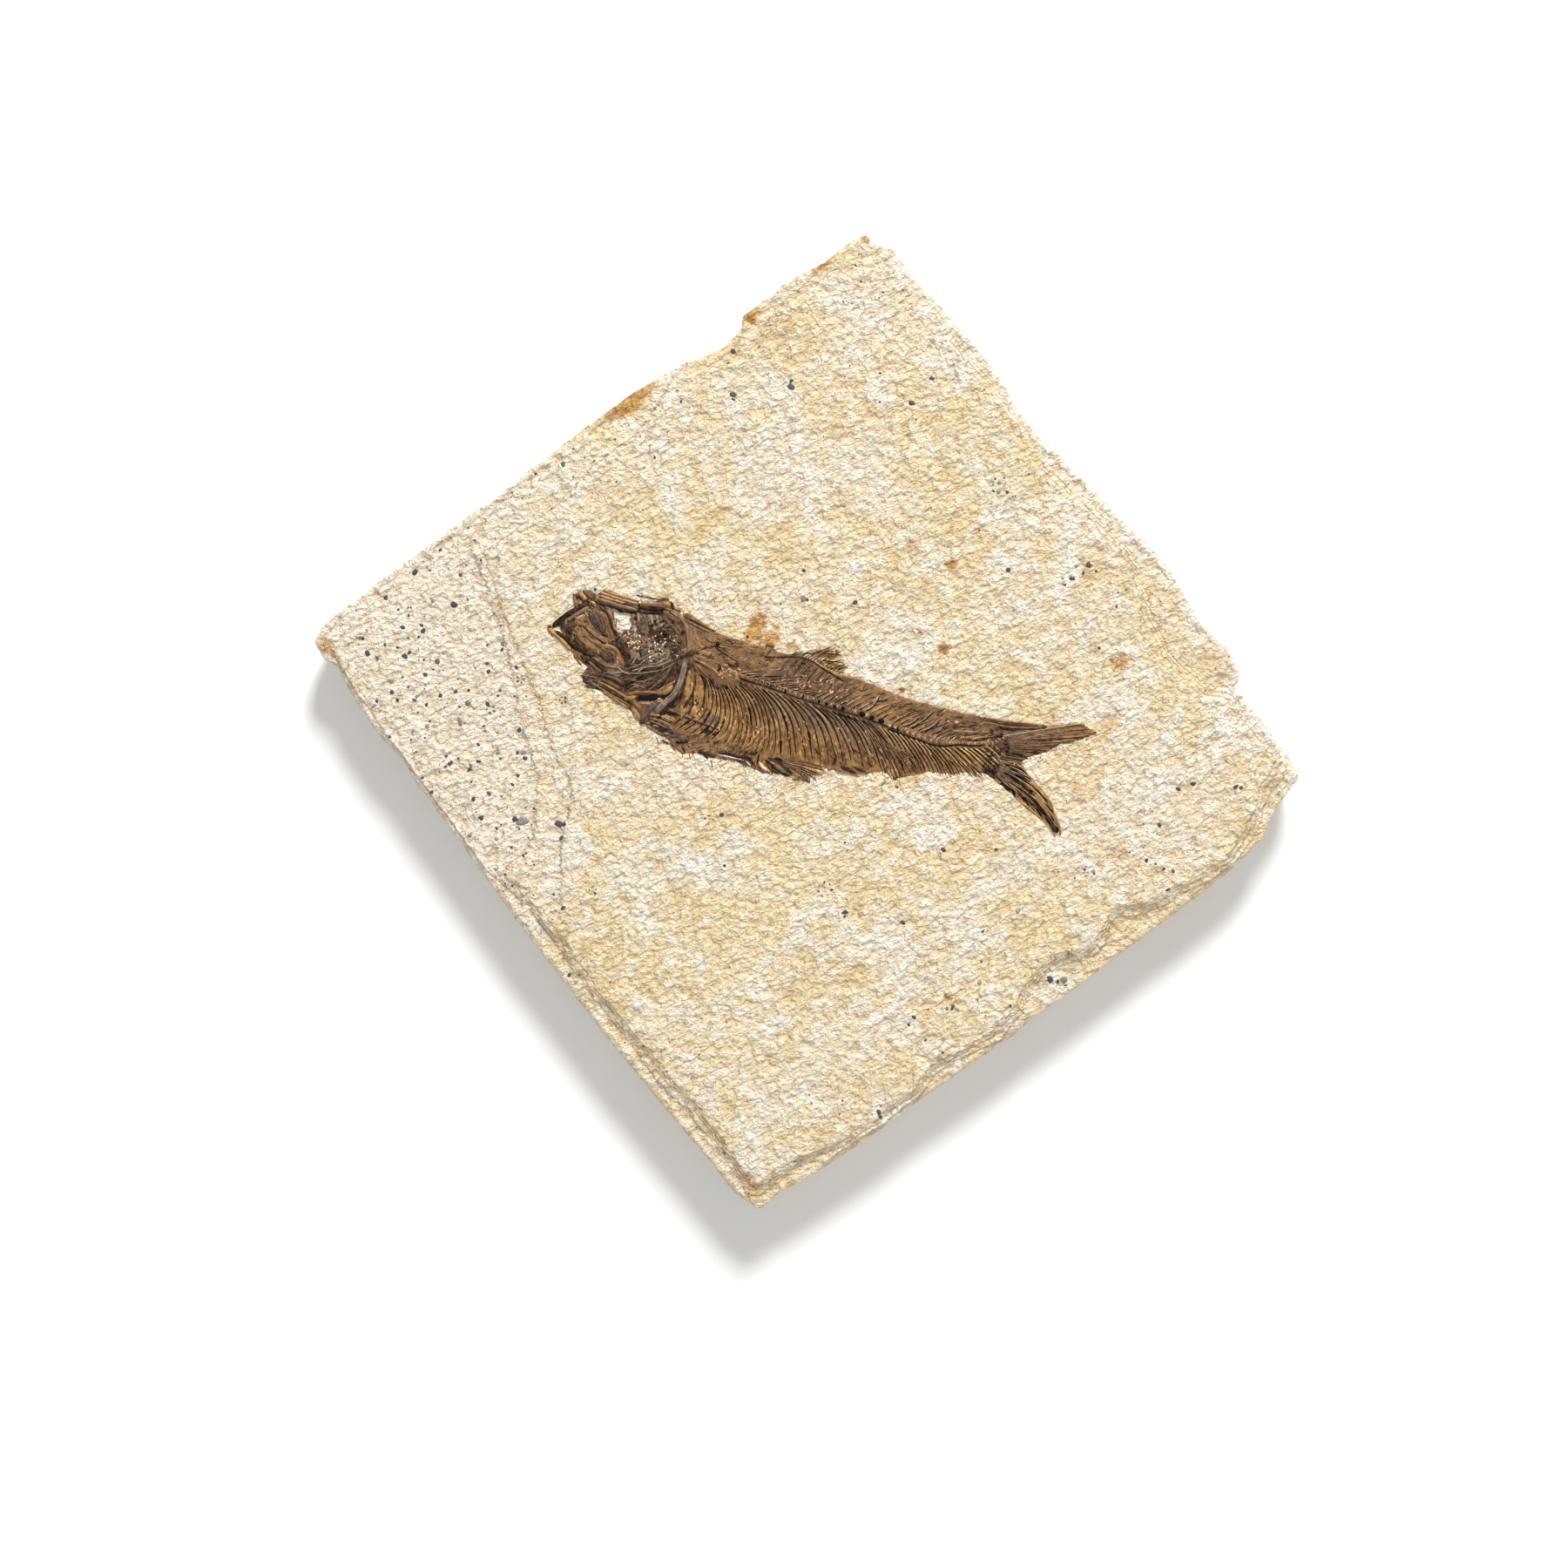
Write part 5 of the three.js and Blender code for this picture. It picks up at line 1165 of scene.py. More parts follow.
def backbone():
    """Vertebrae, the dark line and the gaps along them, and the spines above and below."""
    bones = Bones(303)
    random = bones.random
    for x in np.arange(28.6, 70, VERTEBRA_STEP):
        if min(abs(x - gap) - size / 2 for gap, size in VERTEBRA_GAPS) < 0.1:
            continue
        y = column(BACKBONE, 1, x)
        rise = 0.42 if x < 54 else 0.1
        slope = column(BACKBONE, 1, x + 0.4) - y
        tone, grey = random.uniform(0.44, 0.68), random.uniform(0.1, 0.5)
        shade = 0.08 if x < 36 else -0.04
        bones.add([[x - 0.3, y + rise], [x + 0.3, y + rise + slope]], 0.6, tone - shade, grey, 0.2,
                  height=0.14, wobble=0, sides=7)
        bones.add([[x + 0.05, y + rise + 0.42], [x + 0.5, y + rise + 0.15], [x + 0.42, y - 0.1]], 0.12,
                  random.uniform(0.6, 0.84), grey, 0.1, height=0.22)
        # A black notch between this vertebra and the next.
        size = random.uniform(0.1, 0.3)
        if 36 < x < 62:
            bones.add([[x + 0.34, y + rise + 0.36], [x + 0.34 + size, y + rise + 0.4]], 0.22, -0.4, 0, 0,
                      height=0.24, wobble=0)
        bones.add([[x + 0.5, y + rise + 0.1], [x + 0.52, y + rise - 0.4]], 0.11, -0.3, 0, 0, height=0.2,
                  wobble=0)
    for x in np.arange(29, 36, 0.8):
        y = column(BACKBONE, 1, x)
        bones.add([[x - 0.8, y + 0.75], [x, y + 0.5], [x + 0.9, y + 0.3]], 0.18, random.uniform(0.4, 0.62),
                  0.6, 0.1)
    # The black line under the vertebrae, and the square gaps between some of them.
    x = np.linspace(30, 56, 53)
    line = np.column_stack([x, column(BACKBONE, 1, x) - 0.08])
    bones.add(line[0:16] + [0, 0.1], 0.22, 0.02, 0.3, 0, height=0.18, tip=0.22)
    bones.add(line[4:17] + [0, 0.62], 0.16, 0.04, 0.2, 0, height=0.2)
    bones.add(line[14:41], 0.13, -0.3, 0, 0, height=0.2)
    bones.add(line[40:53], 0.16, -0.2, 0.1, 0, height=0.18)
    for gap, size in VERTEBRA_GAPS:
        y = column(BACKBONE, 1, gap) + 0.32
        tall = 0.62 + 0.2 * (size > 0.6)
        reach = 0.6 * size
        bones.add([[gap - reach, y + 0.04], [gap + reach, y - 0.04]], tall, -0.6, 0, 0, height=0.3,
                  wobble=0, sides=7)
    x = np.linspace(54, 69, 24)
    line = np.column_stack([x, column(BACKBONE, 1, x) - 0.42 + 0.25 * smooth(62, 66, x)])
    bones.add(line, 0.24, -0.1, 0.2, 0, height=0.16)
    # Neural spines: a dark line with a lighter one beside it.
    for x in np.arange(30, 68.5, VERTEBRA_STEP):
        y = column(BACKBONE, 1, x) + 0.7
        reach = 1.5 + 1.5 * smooth(40, 48, x) - 0.8 * smooth(61, 66, x) + random.normal(0, 0.3)
        lean = column(SPINE_LEAN, 1, x) * random.uniform(0.85, 1.15)
        path = np.array([[x, y], [x + 0.34 * reach * lean, y + 0.4 * reach], [x + reach * lean, y + reach]])
        bones.add(path, 0.16, random.uniform(-0.05, 0.16), 0.2, 0, tip=0.07)
        if random.random() < 0.8:
            share = random.uniform(0.5, 1.0)
            bones.add(path[0] + share * (path - path[0]) + [-0.24, 0.03], 0.17, random.uniform(0.5, 0.76),
                      random.uniform(0.1, 0.6), 0.4, tip=0.08)
    for start, end in STRONG_SPINES:
        middle = (np.array(start) + end) / 2 + [0.25, -0.15]
        bones.add([start, middle, end], 0.2, 0.0, 0.2, 0)
        bones.add(np.array([start, middle, end]) + [-0.22, 0.05], 0.16, 0.66, 0.5, 0.2)
    for x in np.arange(60.4, 64, 0.7):
        y = column(BACKBONE, 1, x)
        bones.add([[x - 0.15, y - 0.3], [x + 0.02, y + 0.5], [x + 0.6, y + 1.4]], 0.16, 0.72, 0.8, 0)
    bones.batch(STEM)
    # Haemal spines.
    for number, x in enumerate(np.arange(52.5, 70.2, HAEMAL_STEP)):
        y = column(BACKBONE, 1, x) - 0.5
        slope = 0.78 - 0.3 * smooth(56, 66, x)
        reach = (3.4 + 0.8 * smooth(58, 64, x)) * (1 - 0.35 * smooth(67, 70, x)) + random.normal(0, 0.3)
        path = [[x, y], [x + 0.4 * reach, y - 0.32 * reach * slope], [x + reach, y - reach * slope]]
        if number % 2:
            bones.add(path, random.uniform(0.18, 0.28), random.uniform(-0.3, 0.0), 0.2, 0, tip=0.12)
        else:
            far = smooth(61, 64, x)
            bones.add(path, 0.28, random.uniform(0.5, 0.7) + 0.06 * far, 0.3 - 0.3 * far, 0.5 + 0.5 * far,
                      tip=0.14)
    return bones


def ribs():
    """Ribs: each a dark crack along the film, with short pale stretches of bone beside it."""
    bones = Bones(404)
    random = bones.random
    depth = np.linspace(0.45, 10.4, 27)
    x = 22.9
    while x < 57.5:
        fine = 25 < x < 36
        step = random.uniform(0.58, 0.8) if fine else random.uniform(0.7, 1.35)
        at = swept(np.full(len(depth), x), MID_FLANK, depth)
        at = at + 0.08 * random.normal() * np.sin(depth * 0.8 + random.uniform(0, 6))
        path = np.column_stack([at, column(BACKBONE, 1, at) - depth])
        kept = (path[:, 1] > column(RIB_FLOOR, 1, at)) & ((at > 29.5) | (depth > 1.4)) & (at > 22.5)
        path, deep = path[kept], depth[kept]
        x += step
        if len(path) < 5:
            continue
        shaded = smooth(35, 40, x) * (1 - smooth(3.4, 5.2, deep))
        bones.add(path, 0.18 if fine else random.uniform(0.16, 0.34), random.uniform(-0.25, 0.04), 0.15, 0.1,
                  height=0.12, tip=0.12, wobble=0.03)
        start = int(random.integers(0, 2))
        while start < len(path) - 2:
            end = min(start + int(random.integers(6, 14)), len(path))
            stretch = path[start:end] + [random.uniform(0.44, 0.56) * step, 0]
            brown = shaded[start]
            if random.random() < (0.95 if fine else 0.85):
                wide = random.uniform(0.2, 0.28) if fine else random.uniform(0.22, 0.42)
                bones.add(stretch, wide, random.uniform(0.46, 0.68) - 0.12 * brown, 0.4 * brown,
                          0.8 - 0.6 * brown, height=0.1, tip=0.7 * wide, wobble=0.03)
            start = end + int(random.integers(0, 2))
        if random.random() < 0.5:
            start = int(random.integers(0, len(path) - 3))
            bones.add(path[start:start + 9], random.uniform(0.34, 0.6), random.uniform(-0.05, 0.14), 0.35, 0,
                      height=0.12, tip=0.2, wobble=0.03)
    # Ribs crossing under the front ones, leaning the other way near the belly.
    for x in np.arange(29.5, 36, 0.7):
        bones.add([[x + 1.4, -6.6], [x + 0.9, -8.0], [x, -9.7]], 0.22, random.uniform(0.4, 0.66), 0, 0.7)
    return bones


def fan(bones, roots, ends, count, middle, tone, fade, width=0.3, tip=0.14, dark=0.4):
    """Fin rays between a line of roots and a line of ends, every second one darker."""
    random = bones.random
    for number, (root, end) in enumerate(zip(spaced(roots, count=count), spaced(ends, count=count))):
        end = end + random.normal(0, 0.14, 2)
        bend = (root + end) / 2 + np.array(middle) * (1 + 0.1 * random.normal())
        first, last = np.array(tone, float), np.array(fade, float)
        shade = dark * (number % 2) + random.uniform(-0.08, 0.08)
        first[0], last[0] = first[0] - shade * 0.6, last[0] - shade
        bones.add([root, bend, end], width, *first, tip=tip, fade=last, height=0.12)


# Single bones on top of the fins' rays, as rows of add's values.
UPPER_LOBE = [
    ([[72.2, 3.45], [75, 4.7], [77.8, 5.85], [80.2, 6.95], [82.2, 7.75]], 0.2, -0.05, 0.2, 0),
    ([[72.6, 2.3], [76, 4.2], [79, 5.7], [80.4, 6.2]], 0.22, 0.5, 0.5, 0.2),
    ([[72.8, 1.9], [75.4, 3.2], [78.6, 4.6], [80.6, 5.3]], 0.16, 0.0, 0.1, 0),
    ([[74.8, 2.7], [76.4, 3.5], [78.4, 4.1]], 0.2, 0.04, 0, 0.3),
    ([[73.4, 1.6], [75.6, 1.95], [77.8, 2.5]], 0.22, -0.05, 0.1, 0),
    ([[74.2, 2.2], [76.6, 2.9], [79.0, 3.6]], 0.16, 0.02, 0.1, 0),
    ([[76.65, 6.3], [77.25, 5.7]], 0.34, 0.16, 0.3, 0),
]
UPPER_ROOT = [
    ([[67.8, 4.95], [71, 5.25], [74, 5.75], [76.9, 6.3]], 0.32, 0.55, 0, 0.7),
    ([[67, 4.6], [70, 4.75], [73, 5.2], [76.4, 5.9]], 0.36, 0.14, 0.1, 0.2),
    ([[68.5, 4.3], [71.5, 4.4], [74, 5.0], [76.4, 5.7]], 0.3, 0.38, 0.1, 0.5),
    ([[70.5, 4.0], [73.5, 4.6], [76.2, 5.5]], 0.5, 0.06, 0.4, 0),
]
LOWER_LOBE = [
    ([[74, -3.3], [77, -4.3], [80, -5.7], [82, -7.4]], 0.14, 0.55, 0.3, 0.4),
    ([[72.4, -3.6], [75.4, -4.6], [78.6, -6.0], [80.8, -7.3]], 0.12, 0.52, 0.3, 0.3),
    ([[73.2, -2.6], [75.6, -3.3], [77.8, -4.1]], 0.12, 0.52, 0.3, 0.3),
    ([[74, -3.5], [77, -4.6], [79.6, -5.9], [81.6, -7.4]], 0.16, 0.0, 0.1, 0),
    ([[73.5, -2.7], [76, -3.4], [78.4, -4.2]], 0.24, -0.15, 0.2, 0),
    ([[74.4, -2.1], [76.0, -2.6], [77.6, -3.2]], 0.3, -0.15, 0.2, 0),
    ([[72.6, -2.2], [75.2, -3.0], [78.2, -4.6]], 0.5, 0.0, 0.3, 0),
    ([[75.6, -4.7], [78.4, -5.9], [80.6, -7.2]], 0.42, 0.02, 0.3, 0),
    ([[76.4, -3.0], [78.6, -4.0], [80.6, -5.4]], 0.4, 0.56, 0.1, 0.7),
    ([[71.6, -3.0], [73.4, -4.0], [75.6, -5.0]], 0.34, -0.05, 0.4, 0),
    ([[72.4, -1.0], [74.0, -1.5], [75.4, -1.9]], 0.3, -0.1, 0.3, 0),
]
BACK_FIN = [
    ([[41.2, 7.6], [42.8, 8.0], [44.2, 8.2]], 0.22, 0.02, 0, 0.2),
    ([[37.2, 6.3], [39.6, 7.2], [41.8, 8.1], [43.0, 8.5]], 0.16, 0.1, 0, 0.3),
    ([[41.4, 6.5], [43.2, 6.9], [44.8, 7.2]], 0.16, 0.08, 0, 0.3),
    ([[32.8, 4.75], [35, 5.3], [37, 5.95], [38.6, 6.25], [40.2, 6.1], [42.6, 5.3], [45.6, 4.5]], 0.26,
     0.08, 0.5, 0),
]
# The line that the thin bones under the back fin start from, [x, y].
BACK_FIN_BASE = [[36, 5.7], [39, 6.0], [42, 5.3], [46, 4.3]]
ANAL_STREAKS = [[[54.4, -5.2], [56.8, -7.9]], [[55.0, -5.1], [57.3, -7.8]], [[55.7, -5.0], [57.8, -7.5]]]


def tail(bones):
    """The upper lobe, the rays in the fork, and the lower lobe."""
    fan(bones, [[70.6, 3.3], [71.6, 2.6], [72.4, 1.6], [72.6, 0.6]],
        [[82.7, 7.9], [84.2, 7.6], [85.5, 7.25], [84.6, 6.9], [83.7, 6.25], [82.6, 5.5], [81.4, 4.8],
         [80.4, 4.3], [79.3, 3.5], [78.2, 2.7]], 34, [0.2, -0.05], (0.34, 0.35, 0.25), (0.6, 0, 0.85),
        width=0.26, dark=0.32)
    fan(bones, [[72.4, 1.8], [72.6, 1.0], [72.4, 0.2], [72.0, -0.8]],
        [[77.8, 2.2], [76.5, 1.7], [76.7, 0.8], [75.6, 0.4], [75.0, -0.3], [75.6, -0.9]], 13, [0, 0],
        (0.2, 0.6, 0.1), (0.5, 0, 0.7))
    bones.add([[71.2, 2.8], [74, 4.15], [77.3, 5.65], [80, 6.9], [82.4, 7.95]], 0.3, 0.6, 0.6, 0.1, tip=0.14,
              fade=(0.62, 0, 0.5), height=0.22)
    bones.batch(UPPER_LOBE)
    bones.batch(UPPER_ROOT, height=0.1)
    fan(bones, [[71.6, -0.9], [71.9, -1.8], [71.8, -2.8], [71.4, -3.5]],
        [[76.0, -1.4], [77.3, -2.4], [78.6, -3.2], [80.2, -4.1], [81.3, -5.0], [81.8, -6.0],
         [82.7, -7.2], [83.6, -8.5], [83.2, -9.4], [82.4, -8.8], [81.2, -7.9], [79.5, -7.1],
         [77.8, -6.4], [76.2, -5.7], [74.6, -4.8]], 34, [0.5, 0.55], (0.5, 0.4, 0.1), (0.62, 0.1, 0.6),
        width=0.25, dark=0.7)
    bones.add([[77, -2.2], [79.6, -3.7], [81.2, -5.0], [82.0, -6.3], [83.6, -8.4], [83.9, -9.4]], 0.34,
              0.5, 0, 1.0, height=0.08)
    bones.add([[75.6, -5.5], [78.6, -6.8], [80.8, -7.9], [82.0, -8.6]], 0.3, 0.6, 0, 0.8, height=0.08)
    bones.add([[81.0, -6.9], [82.2, -8.0], [83.2, -9.2]], 0.7, 0.1, 0.5, 0)
    bones.batch(LOWER_LOBE, height=0.16)


def fins():
    """The tail, then the back fin, the pelvic fin and the anal fin."""
    bones = Bones(505)
    tail(bones)
    # Back fin: rays over a dark base line, and the thin bones that carried them.
    fan(bones, [[36.8, 6.2], [39.5, 6.2], [42.0, 5.7], [44.4, 5.2]],
        [[39.9, 8.0], [41.5, 8.6], [43.2, 9.05], [44.2, 8.8], [44.3, 8.1], [45.0, 7.3], [45.9, 6.65],
         [45.6, 6.1]], 17, [-0.1, 0.2], (0.34, 0, 0.7), (0.56, 0, 1.0), width=0.17, tip=0.08, dark=0.32)
    bones.batch(BACK_FIN)
    for number, x in enumerate(np.arange(36.4, 46, 0.55)):
        y = column(BACK_FIN_BASE, 1, x)
        tone = 0.04 if number % 2 else 0.5
        bones.add([[x, y], [x - 0.7, y - 1.3], [x - 1.2, y - 2.8]], 0.18, tone, 0.4, 0.2, tip=0.08)
    # Pelvic fin.
    fan(bones, [[38.8, -9.5], [39.2, -9.9], [40.0, -10.4]],
        [[44.6, -8.9], [46.4, -9.2], [46.6, -9.7], [46.2, -10.2], [44.8, -11.0], [44.0, -11.7]], 18,
        [0, 0.15], (0.34, 0.2, 0.3), (0.56, 0, 0.8), width=0.24, tip=0.1)
    # Anal fin: slanting bones, then a low thin film towards the tail.
    fan(bones, [[50.6, -1.8], [53.5, -2.6], [57.0, -3.2]],
        [[54.6, -7.3], [57.4, -7.7], [59.4, -6.6], [61.8, -5.4]], 24, [0.1, 0.3],
        (0.42, 0.1, 0.5), (0.5, 0, 0.7), width=0.24, tip=0.1, dark=0.55)
    for streak in ANAL_STREAKS:
        bones.add(streak, 0.16, 0.78, 0.1, 0.4)
    bones.add([[56.8, -7.7], [57.5, -7.8]], 0.3, 0.1, 0.2, 0)
    fan(bones, [[57.4, -2.4], [62, -2.6], [67.6, -2.7]], [[60.6, -6.0], [65, -5.1], [70.0, -4.0]], 30,
        [0.1, 0.2], (0.46, 0.1, 0.5), (0.6, 0, 0.9), width=0.24, tip=0.12, dark=0.7)
    return bones


def ragged(ring):
    """The film's edge: nibbled in, with a few frayed stretches."""
    ring = spaced(ring, step=OUTLINE_STEP, closed=True)
    after, before = np.roll(ring, -1, axis=0), np.roll(ring, 1, axis=0)
    ahead = after - before
    ahead /= np.maximum(np.hypot(*ahead.T), 1e-9)[:, None]
    turning = np.sign(np.sum(ring[:, 0] * np.roll(ring[:, 1], -1) - np.roll(ring[:, 0], -1) * ring[:, 1]))
    inward = turning * np.column_stack([-ahead[:, 1], ahead[:, 0]])
    x, y = ring.T
    bite = 0.22 * np.abs(noise(x, y, 0.5, 90)) + 0.3 * np.abs(fractal(x, y, 1.6, 2, 91)) - 0.05
    return ring + inward * bite[:, None]


# The film's tint along the fish, above the backbone and below it: [x, tone], [x, gold] and [x, grey].
TONE_UP = [[22, 0.38], [30, 0.36], [36, 0.33], [46, 0.34], [50, 0.4], [58, 0.35], [70, 0.28]]
GOLD_UP = [[22, 0.8], [32, 0.7], [37, 0.3], [47, 0.3], [51, 0.85], [58, 0.7], [68, 0.6]]
GREY_UP = [[22, 0], [32, 0.1], [37, 0.3], [47, 0.25], [51, 0], [58, 0.1], [68, 0.1]]
TONE_LOW = [[20, 0.36], [30, 0.38], [38, 0.38], [54, 0.38], [62, 0.42], [70, 0.4]]
GOLD_LOW = [[20, 0.6], [34, 0.7], [40, 0.2], [50, 0.2], [56, 0.5], [64, 0.8]]
GREY_LOW = [[20, 0], [34, 0.05], [42, 0.35], [50, 0.4], [56, 0.1], [62, 0]]


def film_tint(points):
    """Tone, greyness and gold of the trunk's film."""
    x, y = points.T
    above = y - column(BACKBONE, 1, x)
    broad = fractal(x, y, 4.0, 3, 95)
    back = smooth(0.6, 1.6, above)
    tone_up, gold_up, grey_up = (column(rows, 1, x) for rows in (TONE_UP, GOLD_UP, GREY_UP))
    low = smooth(3.4, 5.2, -above)
    tone_low = column(TONE_LOW, 1, x) + 0.02 * low
    gold_low = column(GOLD_LOW, 1, x)
    gold_low = gold_low + (0.7 - gold_low) * low
    grey_low = column(GREY_LOW, 1, x) * (1 - low)
    edge = smooth(0.9, 0.1, signed_depth(points, FISH_RING))
    tone = back * tone_up + (1 - back) * tone_low + 0.035 + 0.16 * broad + 0.06 * edge
    gold = back * gold_up + (1 - back) * gold_low + 0.3 * fractal(x, y, 2.5, 2, 97) + 0.35 * edge
    grey = back * grey_up + (1 - back) * grey_low + 0.35 * fractal(x, y, 3.0, 2, 99) - 0.3 * edge
    for fin in BARE_FINS:
        bare = smooth(-0.5, 0.1, signed_depth(points, np.array(fin)))
        tone, gold, grey = tone + (0.74 - tone) * bare, gold + (0.9 - gold) * bare, grey * (1 - bare)
    fork = smooth(2.6, 1.0, np.hypot(x - 71.6, y - 0.2))
    tone, grey = tone - 0.1 * fork, grey + 0.5 * fork
    along_spine = np.exp(-(above - 0.3) ** 2 / 0.16) * smooth(27, 30, x) * smooth(70, 67, x)
    return np.column_stack([tone + 0.02 * along_spine, np.clip(grey + 0.25 * along_spine, 0, 1),
                            np.clip(gold - 0.4 * along_spine, 0, 1)])


def make_film(material, head, fin_bones):
    """The film between the bones, with the eye hole and gaps between the fins' rays."""
    ring = ragged(FISH_RING)
    low, high = ring.min(0), ring.max(0)
    gx, gy = np.meshgrid(np.arange(low[0], high[0], FILM_PITCH),
                         np.arange(low[1], high[1], FILM_PITCH * 0.87))
    gx[1::2] += FILM_PITCH / 2
    grid = np.column_stack([gx.ravel(), gy.ravel()])
    grid = grid + 0.03 * np.column_stack([noise(*grid.T, 0.3, 1), noise(*grid.T, 0.3, 2)])
    orbit = spaced(ORBIT, step=OUTLINE_STEP, closed=True)
    orbit = orbit + 0.55 * np.column_stack([noise(*orbit.T, 0.9, 3), noise(*orbit.T, 0.9, 4)])
    fits = (signed_depth(grid, ring) > OUTLINE_GAP) & (signed_depth(grid, orbit) < -OUTLINE_GAP)
    points = np.vstack([ring, orbit, grid[fits]])
    loops = [list(range(len(ring))), list(range(len(ring), len(ring) + len(orbit)))]
    edges = [(a, b) for loop in loops for a, b in zip(loop, loop[1:] + loop[:1])]
    result = delaunay_2d_cdt([Vector(p) for p in points], edges, [], 0, 1e-6)
    flat = np.array([tuple(p) for p in result[0]])
    triangles = np.array([f for f in result[2] if len(f) == 3])
    middle = flat[triangles].mean(axis=1)
    keep = inside(middle, ring) & ~inside(middle, orbit)
    for number, gap in enumerate(BARE_FINS):
        patchy = noise(middle[:, 0], middle[:, 1] * 2, 1.2, 131 + number) < (0.12 if number else 0.1)
        keep &= ~(inside(middle, np.array(gap)) & patchy)
    triangles = triangles[keep]
    x, y = flat.T
    depth = np.minimum(signed_depth(flat, FISH_RING), np.abs(signed_depth(flat, orbit)))
    below = column(BACKBONE, 1, x) - y
    back_side = below < -0.4
    across = np.where(back_side, x + column(SPINE_LEAN, 1, x) * below,
                      swept(x, np.maximum(below, 0.3), MID_FLANK))
    down = np.where(back_side, -below * 1.25, below * 1.3)
    grain = np.column_stack([down * GRAIN_STRETCH, across * GRAIN_ACROSS,
                             np.where(back_side, 40.0, 60.0)])
    tint = film_tint(flat)
    for bones, zone in ((head, smooth(23.5, 21.5, x)), (fin_bones, smooth(69.0, 70.5, x))):
        near_grain, near_tint, gap = follow(flat, bones.marks)
        take = zone > 0.5
        grain[take] = near_grain[take]
        mixed = np.column_stack([near_tint[:, 0] * 0.7 + 0.1, near_tint[:, 1:]])
        tint += (mixed - tint) * (zone * smooth(2.0, 1.2, gap))[:, None]
    relief = 0.05 * fractal(across * 1.6, down * 0.4, 0.9, 2, 33) + 0.04 * fractal(x, y, 0.8, 2, 35)
    z = ground(flat) + relief * smooth(0, 0.5, depth) - 0.05 * smooth(0.3, 0.0, depth)
    used = np.unique(triangles)
    rename = np.full(len(flat), -1)
    rename[used] = np.arange(len(used))
    top = np.column_stack([to_row(flat[used]), z[used]])
    triangles = rename[triangles]
    pairs = np.vstack([triangles[:, [0, 1]], triangles[:, [1, 2]], triangles[:, [2, 0]]])
    known = set(map(tuple, pairs.tolist()))
    rim = [(a, b) for a, b in known if (b, a) not in known]
    size = len(top)
    bottom = top.copy()
    bottom[:, 2] = np.minimum(bottom[:, 2] - FILM_THICK, FACE_TOP - 0.3)
    faces = triangles.tolist() + (triangles[:, ::-1] + size).tolist()
    faces += [[b, a, a + size, b + size] for a, b in sorted(rim)]
    values = {"grain": np.vstack([grain[used]] * 2), "tint": np.vstack([tint[used]] * 2)}
    return make_piece("fossil_film", np.vstack([top, bottom]), faces, values, material,
                      "fossil_fish")


# ---------------------------------------------------------------- materials

class Nodes:
    """A short way to write a material's nodes."""

    def __init__(self, name):
        self.material = bpy.data.materials.new(name)
        self.material.use_nodes = True
        self.tree = self.material.node_tree
        self.shader = self.tree.nodes["Principled BSDF"]

    def add(self, kind, inputs=(), **settings):
        """A new node with its inputs linked or set."""
        node = self.tree.nodes.new(kind)
        for key, value in settings.items():
            setattr(node, key, value)
        for key, value in dict(inputs).items():
            self.put(node.inputs[key], value)
        return node

    def put(self, socket, value):
        if isinstance(value, bpy.types.NodeSocket):
            self.tree.links.new(value, socket)
        else:
            socket.default_value = value

    def attribute(self, name, part="Fac"):
        return self.add("ShaderNodeAttribute", attribute_name=name).outputs[part]

    def place(self, scale=1.0):
        """Object coordinates in millimetres, times a scale."""
        spot = self.add("ShaderNodeTexCoord").outputs["Object"]
        scales = np.broadcast_to(np.array(scale) / MM, 3).tolist()
        return self.add("ShaderNodeMapping", {"Vector": spot, "Scale": scales}).outputs[0]

    def noise(self, size, detail=3.0, rough=0.5, vector=None, distort=0.0):
        """Noise from 0 to 1 with features about size millimetres across."""
        inputs = {"Vector": vector or self.place(), "Scale": 1 / size, "Detail": detail,
                  "Roughness": rough, "Distortion": distort}
        return self.add("ShaderNodeTexNoise", inputs).outputs["Fac"]

    def warp(self, vector, size, reach):
        """A place shifted by noise, by up to about half of reach."""
        shift = self.add("ShaderNodeTexNoise", {"Vector": vector, "Scale": 1 / size, "Detail": 1.0})
        return self.add("ShaderNodeMixRGB", {0: reach, 1: vector, 2: shift.outputs["Color"]},
                        blend_type="ADD").outputs[0]

    def math(self, operation, a, b=None, clamp=False):
        node = self.add("ShaderNodeMath", {0: a}, operation=operation, use_clamp=clamp)
        if b is not None:
            self.put(node.inputs[1], b)
        return node.outputs[0]

    def times(self, a, b):
        return self.math("MULTIPLY", a, b)

    def ramp(self, value, low, high, out_low=0.0, out_high=1.0):
        inputs = {"Value": value, "From Min": low, "From Max": high, "To Min": out_low,
                  "To Max": out_high}
        return self.add("ShaderNodeMapRange", inputs, interpolation_type="SMOOTHSTEP").outputs[0]

    def mix(self, share, a, b):
        node = self.add("ShaderNodeMix", data_type="RGBA")
        self.put(node.inputs[0], share)
        for socket, colour in ((node.inputs[6], a), (node.inputs[7], b)):
            self.put(socket, colour if isinstance(colour, bpy.types.NodeSocket) else (*colour, 1))
        return node.outputs[2]

    def coat(self, colour, value, low, high, share, tint):
        """A colour with a tint laid over it, up to a share, as the value goes from low to high."""
        return self.mix(self.ramp(value, low, high, 0, share), colour, tint)

    def bump(self, height, distance, strength):
        inputs = {"Height": height, "Distance": distance * MM, "Strength": strength}
        return self.add("ShaderNodeBump", inputs).outputs[0]


